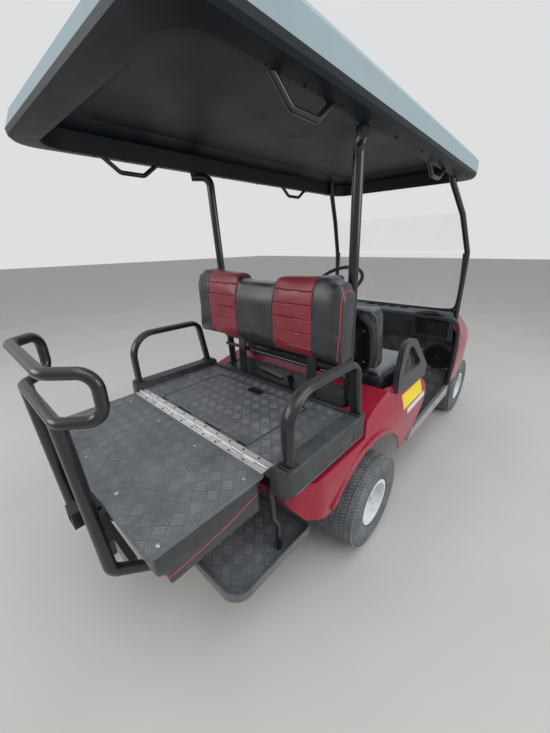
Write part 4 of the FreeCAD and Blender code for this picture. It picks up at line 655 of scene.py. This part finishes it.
def sewn_line(piece, point, normal, depth, thickness=None, material=None, name=None, within=None):
    """A line sewn across a soft piece where a plane meets it, with a tube of piping if one is named."""
    only(piece)
    mode("EDIT")
    bpy.ops.mesh.select_mode(type="EDGE")
    bpy.ops.mesh.select_all(action="SELECT")
    bpy.ops.mesh.bisect(plane_co=point, plane_no=normal)
    if within:
        shape = bmesh.from_edit_mesh(piece.data)
        for edge in shape.edges:
            if edge.select and not all(within(end.co) for end in edge.verts):
                edge.select_set(False)
        bmesh.update_edit_mesh(piece.data)
    bpy.ops.transform.shrink_fatten(value=-depth)
    if not name:
        only(piece)
        return None
    bpy.ops.mesh.duplicate()
    bpy.ops.transform.shrink_fatten(value=thickness * 0.4)
    bpy.ops.mesh.separate(type="SELECTED")
    mode("OBJECT")
    line = [item for item in bpy.context.selected_objects if item != piece][0]
    only(line)
    bpy.ops.object.convert(target="CURVE")
    bpy.context.object.data.bevel_depth = thickness
    bpy.context.object.data.bevel_resolution = 3
    return settle(name, material, 60)


def cover(piece, name, node, body, lines, panels=None):
    """Finish a soft piece and its seam lines: vinyl, red panels, what it stands for and what it rides."""
    only(piece)
    piece = settle(name, charcoal_vinyl, 70)
    if panels:
        piece.data.materials.append(red_vinyl)
        for face in piece.data.polygons:
            if panels(face.center):
                face.material_index = 1
    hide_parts(node)
    for item in [piece] + lines:
        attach(item, body)


# The rear backrest, seen from behind: two humps, a dip between them and rounded ends.
ACROSS = (1, 0, 0)
BACK_REAR, BACK_FRONT = ahead(-0.172), ahead(-0.064)
BACK_MIDDLE = (BACK_REAR + BACK_FRONT) / 2
PANEL_INNER, PANEL_OUTER = 0.118, 0.322
BACKREST_LINES = (
    # distance out, depth, thickness of the tube, material, name
    (PANEL_INNER, 0.0035, 0.0013, seam_thread, "backrest_seam"),
    (PANEL_OUTER, 0.0035, 0.0013, seam_thread, "backrest_seam"),
    (0.436, 0.0015, 0.0022, red_piping, "backrest_piping"),
)
backrest = puffed([
    ((-0.462, BACK_REAR, 0.922), (0.462, BACK_FRONT, 1.2)),
    ((-0.446, BACK_REAR + 0.004, 1.15), (0.446, BACK_FRONT - 0.004, 1.24)),
    ((-0.405, BACK_REAR + 0.006, 1.2), (-0.12, BACK_FRONT - 0.006, 1.268)),
    ((0.12, BACK_REAR + 0.006, 1.2), (0.405, BACK_FRONT - 0.006, 1.268)),
], 0.012, 0.016, 12)
backrest_lines = [sewn_line(backrest, (side * reach, 0, 0), ACROSS, *line)
                  for side in (-1, 1) for reach, *line in BACKREST_LINES]
for height in (0.986, 1.042, 1.098, 1.154, 1.207):
    for offset, depth in ((-0.004, 0.0), (0.004, 0.0), (0.0, 0.0055)):
        sewn_line(backrest, (0, 0, height + offset), UP, depth,
                  within=lambda spot: 0.121 < abs(spot.x) < 0.319 and spot.y < BACK_MIDDLE)
cover(backrest, "soft_rear_backrest", "rear_seat_back", "chassis", backrest_lines,
      lambda spot: PANEL_INNER < abs(spot.x) < PANEL_OUTER)

# The front backrest leans back on its shell; the cushion below it is one long pad.
LEAN = math.radians(11)
front_back = puffed([((-0.47, 0.012, 0.006), (0.47, 0.096, 0.28)),
                     ((-0.45, 0.012, 0.2), (0.45, 0.094, 0.298))], 0.014, 0.01)
lean = Matrix.Translation((0, ahead(0.128), 0.812)) @ Matrix.Rotation(LEAN, 4, "X")
back_lines = [sewn_line(front_back, (reach, 0, 0), ACROSS, 0.001, 0.002, seam_thread, "front_back_piping")
              for reach in (-0.452, 0.452)]
for piece in [front_back] + back_lines:
    piece.data.transform(lean)
cover(front_back, "soft_front_backrest", "front_seat_back", "chassis", back_lines)
front_pad = puffed([((-0.477, ahead(0.206), 0.652), (0.477, ahead(0.63), 0.78))], 0.016, 0.013)
pad_lines = [sewn_line(front_pad, (reach, 0, 0), ACROSS, 0.001, 0.0022, seam_thread, "front_cushion_piping")
             for reach in (-0.46, 0.46)]
cover(front_pad, "soft_front_cushion", "front_seat_cushion", "chassis", pad_lines)

# The rear cushion hangs upside down: its sitting face looks at the ground.
rear_pad = puffed([((-0.434, ahead(-0.962), 0.585), (0.434, ahead(-0.59), 0.682)),
                   ((-0.434, ahead(-0.93), 0.524), (0.434, ahead(-0.59), 0.62))], 0.014, 0.009, 4)
welt_line = sewn_line(rear_pad, (0, ahead(-0.96), 0.56), (0, -0.14, 1), 0.001, 0.002, red_piping,
                      "rear_cushion_piping")
cover(rear_pad, "soft_rear_cushion", "rear_seat_cushion", "flip_panel", [welt_line])

# Raised bars on the deck, the hatch lid, the folding board and the footrest.
# Moulded in with each board: square groups of six low bars that by turns lie one way and the other.
# Rows of bars are laid at 45 degrees and cut at the edges of each strip of board they cover.
BAR_GROUP = 0.04
BARS, BAR_PITCH = 6, 0.0063
BAR_LONG, BAR_WIDE, BAR_THICK = 0.0316, 0.0034, 0.0022
DECK_TOP, BOARD_TOP, FOOTREST_TOP = 0.7, 0.699, 0.27
bar_grey = patchy("worn_bar_tops", ((0.13, 0.142, 0.152), (0.32, 0.325, 0.325)), (0.38, 0.7, 7.0, 8.0, 0.7),
                  1.0, 0.34, 0.25, (0.0003, 0.4, 500.0, 3.0), Specular_IOR_Level=0.5)


def bar_grid(corner, across, pairs):
    """Every other group both ways from one corner; the bars lie along Y when across is set, else along X."""
    def lay(along, over, up):
        return Vector((over, along, up) if across else (along, over, up))

    middle = Vector((corner[0] + BAR_GROUP / 2, corner[1] + BAR_GROUP / 2, 0))
    spot = middle - lay(0, (BARS - 1) / 2 * BAR_PITCH, 0)
    bar = block(spot, lay(BAR_LONG, BAR_WIDE, BAR_THICK))
    pick_faces(bar, UP)
    bpy.ops.transform.resize(value=lay(0.94, 0.5, 1), center_override=spot)
    for count, shift in ((BARS, lay(0, BAR_PITCH, 0)), (pairs, (2 * BAR_GROUP, 0, 0)),
                         (pairs, (0, 2 * BAR_GROUP, 0))):
        modify(bar, "ARRAY", count=count, use_relative_offset=False, use_constant_offset=True,
               constant_offset_displace=shift)
    return bar


def barred(name, strips, level, body):
    """Raised bars over strips of a board; a strip is its west, east, rear and front edges."""
    centre = Vector((0, ahead(-0.5), 0))
    slant = Matrix.Rotation(math.radians(45), 4, "Z")
    pieces = []
    for west, east, rear, front in strips:
        rear, front = ahead(rear), ahead(front)
        middle = slant.inverted() @ (Vector(((west + east) / 2, (rear + front) / 2, 0)) - centre)
        reach = math.hypot(east - west, front - rear) / 2 + BAR_GROUP
        pairs = math.ceil(reach / BAR_GROUP)
        start = [2 * BAR_GROUP * math.floor((value - reach) / (2 * BAR_GROUP)) for value in middle[:2]]
        strip = joined(*[bar_grid((start[0] + along * BAR_GROUP, start[1] + over * BAR_GROUP),
                                  along != over, pairs + 1)
                         for along, over in ((0, 0), (1, 1), (0, 1), (1, 0))])
        strip.data.transform(Matrix.Translation(centre + Vector((0, 0, level + 0.0001))) @ slant)
        mode("EDIT")
        for point, normal in (((west, 0, 0), (-1, 0, 0)), ((east, 0, 0), ACROSS),
                              ((0, rear, 0), (0, -1, 0)), ((0, front, 0), (0, 1, 0))):
            bpy.ops.mesh.select_all(action="SELECT")
            bpy.ops.mesh.bisect(plane_co=point, plane_no=normal, use_fill=True, clear_outer=True)
        mode("OBJECT")
        pieces.append(strip)
    joined(*pieces)
    settle(name, bar_grey, 20, body)


barred("deck_bars", [(-0.446, 0.446, -0.162, -0.106), (-0.446, -0.305, -0.534, -0.162),
                     (0.305, 0.446, -0.534, -0.162)], DECK_TOP, "chassis")
barred("lid_bars", [(-0.292, 0.292, -0.478, -0.216), (-0.245, 0.245, -0.52, -0.478),
                    (-0.292, -0.05, -0.216, -0.178), (0.05, 0.292, -0.216, -0.178)], DECK_TOP, "deck_lid")
barred("board_bars", [(-0.438, 0.438, -0.973, -0.602)], BOARD_TOP, "flip_panel")
barred("footrest_bars", [(-0.44, 0.44, -0.735, -0.365)], FOOTREST_TOP, "chassis")

# Screws, the hatch latch and the hinge's screws.
# Zinc-plated pan heads with a driver recess; the latch is a black cup clipped into the lid.
screw_metal = patchy("worn_screw_heads", ((0.72, 0.72, 0.7), (0.3, 0.27, 0.22)), (0.45, 0.7, 180.0, 3.0),
                     1.0, 0.3, 0.3, Metallic=0.8)
dark_zinc = Finish("dark_screw_heads", Metallic=0.6)
dark_colour = dark_zinc.mix(dark_zinc.noise(200.0), (0.02, 0.02, 0.02), (0.09, 0.08, 0.07))
screw_black = dark_zinc.show(dark_colour, 0.35 + dark_zinc.noise(90.0) * 0.2)
HINGE_PITCH, HINGE_HEAD = 0.0762, 0.0042
BOARD_SCREWS = ((-0.367, -0.651), (-0.106, -0.651), (0.155, -0.651), (0.415, -0.649),
                (-0.33, -0.936), (-0.076, -0.936), (0.178, -0.938), (0.429, -0.942))


def screw_heads(name, spots, radius, material, body="chassis", facing=UP):
    """Domed screw heads with a driver recess, set on flat faces that look one way."""
    turn = Vector(UP).rotation_difference(Vector(facing)).to_matrix().to_4x4()
    heads = []
    for spot in spots:
        head = rod(18, radius, radius * 0.5)
        pick_faces(head, UP)
        pull(0, 0, radius * 0.18)
        bpy.ops.transform.resize(value=(0.72, 0.72, 1))
        bpy.ops.mesh.inset(thickness=radius * 0.42)
        pull(0, 0, -radius * 0.3)
        moved(head, Matrix.Translation(spot) @ turn)
        heads.append(head)
    joined(*heads)
    settle(name, material, 40, body)


def round_corners(piece, axis, offset, segments):
    """Round a box's edges that run along one axis."""
    pick(piece, "EDGE", lambda edge: abs(edge.verts[0].co[axis] - edge.verts[1].co[axis]) > 0.001)
    bpy.ops.mesh.bevel(offset=offset, segments=segments)


screw_heads("board_screws", [(x, ahead(d), BOARD_TOP + 0.0005) for x, d in BOARD_SCREWS], 0.0062, screw_metal,
            "flip_panel")
screw_heads("fixed_leaf_screws", [(HINGE_PITCH * step, ahead(-0.549), DECK_TOP + 0.0005)
                                  for step in range(-5, 6)], HINGE_HEAD, screw_black)
screw_heads("moving_leaf_screws", [(HINGE_PITCH * step + 0.038, ahead(-0.587), BOARD_TOP + 0.0005)
                                   for step in range(-5, 5)], HINGE_HEAD, screw_black, "flip_panel")

cup_black = grained_plastic("latch_cup_plastic", (0.008, 0.008, 0.009), (0.04, 0.04, 0.04), 0.4, 0.3)
latch = block((0, ahead(-0.193), DECK_TOP + 0.0005), (0.088, 0.04, 0.005))
round_corners(latch, 2, 0.012, 4)
pick_faces(latch, UP)
stepped(0.003, (0, 0, 0.001), 0.007)
pull(0, 0, -0.0052)
settle("lid_latch_cup", cup_black, 35, "deck_lid")

# Front seat shell: the moulded back of the front seat, with a raised rim and two screws to each bracket.
# Glossy black plastic, vacuum-formed in steps, clipped over the foam.
shell_gloss = grained_plastic("glossy_seat_shell", (0.007, 0.008, 0.01), (0.035, 0.037, 0.04), 0.2, 0.35,
                              1400.0)
shell = block((0, -0.006, 0.15), (0.93, 0.044, 0.296))
round_corners(shell, 1, 0.092, 10)
pick_faces(shell, (0, -1, 0))
stepped(0.01, (0, -0.008, 0), 0.034, 0.006, (0, 0.008, 0), 0.03, 0.004, (0, -0.005, 0))
moved(shell, lean)
settle("front_seat_shell", shell_gloss, 35, "chassis")
screw_heads("shell_screws", [lean @ Vector((x, -0.0335, z)) for x in (-0.425, 0.425) for z in (0.075, 0.225)],
            0.0065, screw_metal, facing=(0, -math.cos(LEAN), -math.sin(LEAN)))

# Dash: a rolled hood over the passenger's pocket that turns down the opening's edge, and pocket bezels.
# Black moulded plastic, a rounded lip a thumb wide; the toe board below carries a round ribbed cover.
trim_black = grained_plastic("rolled_trim_plastic", (0.01, 0.011, 0.013), (0.05, 0.052, 0.055), 0.28, 0.4)
DASH_ROLL = ((0.25, 1.15, 0.892), (0.31, 1.132, 0.906), (0.373, 1.126, 0.921), (0.455, 1.13, 0.915),
             (0.52, 1.168, 0.884), (0.54, 1.208, 0.815), (0.541, 1.228, 0.74), (0.543, 1.234, 0.62),
             (0.54, 1.234, 0.48), (0.537, 1.23, 0.4))
SIDES = ((-1, "left"), (1, "right"))
DASH_FACE, TOE_BOARD = ahead(1.1065), ahead(1.3225)
COVER_RINGS = [(0.0, 0.0005), (0.006, 0.012), (0.006, 0.026), (0.001, 0.03), (0.001, 0.072), (0.008, 0.076),
               (0.01, 0.086), (0.008, 0.092), (-0.003, 0.094)]


def tube(name, points, radius, material=trim_black, body="chassis", closed=False):
    """A smooth bar or bead bent through points."""
    only()
    bpy.ops.curve.primitive_nurbs_path_add()
    line = bpy.context.object.data
    line.splines.clear()
    spline = line.splines.new("NURBS")
    spline.points.add(len(points) - 1)
    for knot, place in zip(spline.points, points):
        knot.co = (*place, 1)
    spline.order_u = 3
    spline.use_endpoint_u = not closed
    spline.use_cyclic_u = closed
    spline.resolution_u = 8
    line.dimensions = "3D"
    line.bevel_depth = radius
    line.bevel_resolution = 4
    line.use_fill_caps = not closed
    settle(name, material, 50, body)


def rounded_loop(x, z, half_x, half_z, corner, y):
    """Points round an upright rectangle with cut corners, for a closed bead."""
    points = []
    for turn_x, turn_z in ((1, 1), (1, -1), (-1, -1), (-1, 1)):
        ends = [(x + turn_x * (half_x - corner), y, z + turn_z * half_z),
                (x + turn_x * half_x, y, z + turn_z * half_z),
                (x + turn_x * half_x, y, z + turn_z * (half_z - corner))]
        points.extend(ends if turn_x == turn_z else reversed(ends))
    return points


for side, word in SIDES:
    tube("dash_end_roll_" + word, [(side * x, ahead(d), z) for x, d, z in DASH_ROLL], 0.0185)
tube("glove_pocket_bezel", rounded_loop(0.395, 0.8175, 0.116, 0.068, 0.04, DASH_FACE), 0.0062, closed=True)
tube("tray_pocket_bezel", rounded_loop(-0.075, 0.81, 0.103, 0.043, 0.03, DASH_FACE), 0.0045, closed=True)
round_cover = turned((0, 0, 0), COVER_RINGS, 48)
rib = block((0.003, 0, 0.051), (0.01, 0.007, 0.046))
pick_faces(rib, ACROSS)
bpy.ops.transform.resize(value=(1, 0.55, 0.92))
joined(round_cover, around(rib, (0, 0, 0), 9))
moved(round_cover, Matrix.Translation((0.42, TOE_BOARD + 0.001, 0.56))
      @ Matrix.Rotation(-math.pi / 2, 4, "Z"))
settle("toe_board_round_cover", trim_black, 35, "chassis")
screw_heads("toe_board_screws", [(0.309, TOE_BOARD, 0.598), (0.497, TOE_BOARD, 0.48)], 0.006, screw_metal,
            facing=(0, -1, 0))

# Hatch line: the dark gap round the lid, with rounded corners.
# A thin bead sunk into the lid's top, which it rides on.
groove_dark = speckled("dark_lid_groove", 50.0, (0.003, 0.003, 0.003), (0.02, 0.02, 0.02), Roughness=0.8)
lid_loop = [(x, ahead(-0.3475) + z, DECK_TOP - 0.0002)
            for x, _, z in rounded_loop(0.0, 0.0, 0.299, 0.18, 0.06, 0.0)]
tube("lid_groove_line", lid_loop, 0.0017, groove_dark, body="deck_lid", closed=True)

# Windscreen edge: a black rubber channel round the lower pane, with rounded lower corners.
# Extruded rubber pushed over the pane's edge and butted against the struts.
HALF_EDGE = [(0.474, 1.3), (0.484, 1.15), (0.484, 1.0), (0.478, 0.935), (0.44, 0.914), (0.25, 0.912)]


def on_pane(x, z):
    """A point on the lower pane, which leans back a little towards its top."""
    return (x, ahead(1.333 - 0.035 * (z - 0.84) / 0.46), z)


tube("windscreen_channel", [on_pane(-x, z) for x, z in HALF_EDGE] + [on_pane(0.0, 0.912)]
     + [on_pane(x, z) for x, z in reversed(HALF_EDGE)], 0.01)

# Side plates: a blank yellow plate with a blank white strip below it on the body's right side.
# Thin printed-film plates stuck on and following the panel's curve; both are left empty.


def stuck_plate(name, rear, front, low, high, rise, colour):
    """A thin blank plate pressed onto the body's right side."""
    only()
    bpy.ops.mesh.primitive_grid_add(x_subdivisions=28, y_subdivisions=10, size=1)
    plate = bpy.context.object
    across = Vector((0, front - rear, rise))
    for point in plate.data.vertices:
        along, up = point.co.x + 0.5, point.co.y + 0.5
        point.co = Vector((0.6, ahead(rear), low + (high - low) * up)) + across * along
    modify(plate, "SHRINKWRAP", target=bpy.data.objects["rear_body"], wrap_method="PROJECT",
           use_project_x=True, use_project_y=False, use_project_z=False, use_negative_direction=True,
           use_positive_direction=False, offset=0.0012)
    modify(plate, "SOLIDIFY", thickness=0.001)
    outward()
    film = patchy(name + "_film", (colour, tuple(value * 0.55 for value in colour)),
                  (0.5, 0.8, 22.0, 6.0, 0.7), 0.4, 0.35, 0.2, Specular_IOR_Level=0.5)
    settle(name, film, 40, "chassis")


stuck_plate("yellow_side_plate", 0.322, 0.588, 0.574, 0.65, 0.006, (0.86, 0.66, 0.02))
stuck_plate("white_side_strip", 0.372, 0.622, 0.532, 0.562, 0.012, (0.72, 0.73, 0.74))

# Border: the seam where its front end piece meets the side, and a painted highlight along its lower edge.
# A thin pale tube on the lower edge stands in for the light the border's edge catches; the seam is a thin
# dark line.
# Painted highlight: the pale colour of the tube along the border's lower edge.
painted_edge_highlight = speckled("painted_border_edge_highlight", 40.0, (0.1, 0.105, 0.11), (0.26, 0.26, 0.26), 4.0, Roughness=0.45)
for side, word in SIDES:
    tube("border_painted_highlight_" + word, [(side * 0.5345, ahead(d), 0.6295) for d in (-0.535, -0.4, -0.25, -0.1)],
         0.0016, painted_edge_highlight)
    tube("border_seam_" + word, [(side * 0.535, ahead(-0.178), z) for z in (0.634, 0.66, 0.69, 0.72)],
         0.001, cup_black)

# Behind the front seat: two bars across the uprights, the engine's access cover, a belt and its buckle.
# Black painted tube, a black moulded cover, grey nylon webbing and a buckle with a red press button.
BUCKLE_TURN = (0.5, 0.0, 0.25)
for word, height in (("upper", 0.888), ("lower", 0.835)):
    tube("backrest_bar_" + word, [(x, ahead(-0.03), height) for x in (-0.4, -0.15, 0.15, 0.4)], 0.0095,
         black_tube)
well_cover = block((0, ahead(0.012), 0.704), (0.8, 0.196, 0.016))
round_corners(well_cover, 2, 0.03, 5)
pick_faces(well_cover, UP)
stepped(0.004, (0, 0, 0.002), 0.014, 0.003, (0, 0, -0.004))
settle("engine_access_cover", trim_black, 35, "chassis")
webbing = Finish("grey_belt_webbing", Roughness=0.8)
weave = webbing.noise(300.0, 3.0, 0.6, webbing.place(scale=(1, 12, 1)))
grey_webbing = webbing.show(webbing.mix(weave, (0.11, 0.112, 0.115), (0.26, 0.262, 0.265)),
                            relief=webbing.bump(weave, 0.0004, 0.6))
only()
bpy.ops.mesh.primitive_grid_add(x_subdivisions=30, y_subdivisions=4, size=1)
belt = bpy.context.object
for point in belt.data.vertices:
    along = point.co.x
    point.co = Vector((-0.085 + along * 0.19, ahead(0.015 - along * 0.03) + point.co.y * 0.03,
                       0.7165 - 0.004 * along * along))
modify(belt, "SOLIDIFY", thickness=0.0016)
outward()
settle("belt_webbing", grey_webbing, 60, "chassis")
button_red = speckled("red_button_plastic", 80.0, (0.45, 0.008, 0.008), (0.6, 0.02, 0.02), Roughness=0.4)
for name, spot, sides, width, material in (
        ("belt_buckle", (0.075, ahead(-0.01), 0.73), (0.03, 0.018, 0.062), 0.004, trim_black),
        ("belt_buckle_button", (0.0715, ahead(-0.0215), 0.757), (0.022, 0.013, 0.016), 0.003, button_red)):
    modify(block(spot, sides, BUCKLE_TURN), "BEVEL", width=width, segments=3)
    settle(name, material, 40, "chassis")

# Roof fixings: bolt heads along the rim of the underside.
# Zinc bolts with washers through the twin-sheet roof into its handles and posts.
RIM_BOLTS = (-0.56, -0.434, -0.275, -0.126, 0.081, 0.33, 0.56, 0.8, 1.05)
screw_heads("roof_rim_bolts", [(side * 0.4655, ahead(d), 1.706) for side in (-1, 1) for d in RIM_BOLTS],
            0.0055, screw_black, facing=(0, 0, -1))

# Steering wheel boss: a domed pad over the hub.
# Soft black plastic snapped over the nut, on the wheel's own tilt.
BOSS_RINGS = [(-0.016, 0.036), (0.0, 0.044), (0.01, 0.043), (0.017, 0.036), (0.02, 0.022), (0.021, 0.0005)]
boss_turn = Matrix.Rotation(math.radians(58), 4, "X") @ Matrix.Rotation(-math.pi / 2, 4, "Y")
moved(turned((0, 0, 0), BOSS_RINGS, 40), Matrix.Translation((-0.26, ahead(0.966), 1.109)) @ boss_turn)
settle("steering_wheel_boss", wheel_grip, 40, "steering_wheel")

# Studio: a plain pale floor under even light.
# The camera sees a pale backdrop, also through the panes; every other ray meets a dimmer, cooler sky.
only()
bpy.ops.mesh.primitive_plane_add(size=60, location=(0, 0, 0))
studio_floor = bpy.context.object
studio_floor.name = "studio_floor"
studio_floor.data.materials.append(
    speckled("pale_studio_floor", 1.4, (0.52, 0.5, 0.47), (0.6, 0.58, 0.55), 5.0, Roughness=0.8))

world = bpy.data.worlds.new("soft_studio")
bpy.context.scene.world = world
world.use_nodes = True
nodes = world.node_tree.nodes
backdrop, seen_backdrop = nodes["Background"], nodes.new("ShaderNodeBackground")
for glow, colour, strength in ((backdrop, (0.92, 0.95, 1.0, 1), 0.55),
                               (seen_backdrop, (0.86, 0.87, 0.88, 1), 0.85)):
    glow.inputs["Color"].default_value = colour
    glow.inputs["Strength"].default_value = strength
ray, either, chooser = (nodes.new("ShaderNode" + kind) for kind in ("LightPath", "Math", "MixShader"))
either.operation = "MAXIMUM"
for output, slot in ((ray.outputs["Is Camera Ray"], either.inputs[0]),
                     (ray.outputs["Is Transmission Ray"], either.inputs[1]),
                     (either.outputs[0], chooser.inputs[0]), (backdrop.outputs[0], chooser.inputs[1]),
                     (seen_backdrop.outputs[0], chooser.inputs[2]),
                     (chooser.outputs[0], nodes["World Output"].inputs["Surface"])):
    world.node_tree.links.new(output, slot)

STUDIO_LAMPS = (
    # name, place, aims at, side lengths, watts, colour
    ("sky_panel", (1.5, -1.0, 5.2), (0, 0, 0.6), (5.0, 5.0), 150.0, (0.93, 0.96, 1.0)),
    ("rear_panel", (-2.5, -4.6, 2.6), (0, -0.6, 0.7), (3.0, 2.0), 70.0, (1.0, 0.99, 0.97)),
    ("side_panel", (4.8, 0.8, 2.2), (0, 0, 0.8), (3.0, 2.2), 70.0, (1.0, 0.99, 0.97)),
)
for name, spot, aim, sides, watts, colour in STUDIO_LAMPS:
    lamp = bpy.data.lights.new(name, "AREA")
    lamp.shape = "RECTANGLE"
    lamp.size, lamp.size_y = sides
    lamp.energy = watts
    lamp.color = colour
    holder = bpy.data.objects.new(name, lamp)
    bpy.context.collection.objects.link(holder)
    holder.location = spot
    holder.rotation_euler = (Vector(aim) - Vector(spot)).to_track_quat("-Z", "Y").to_euler()
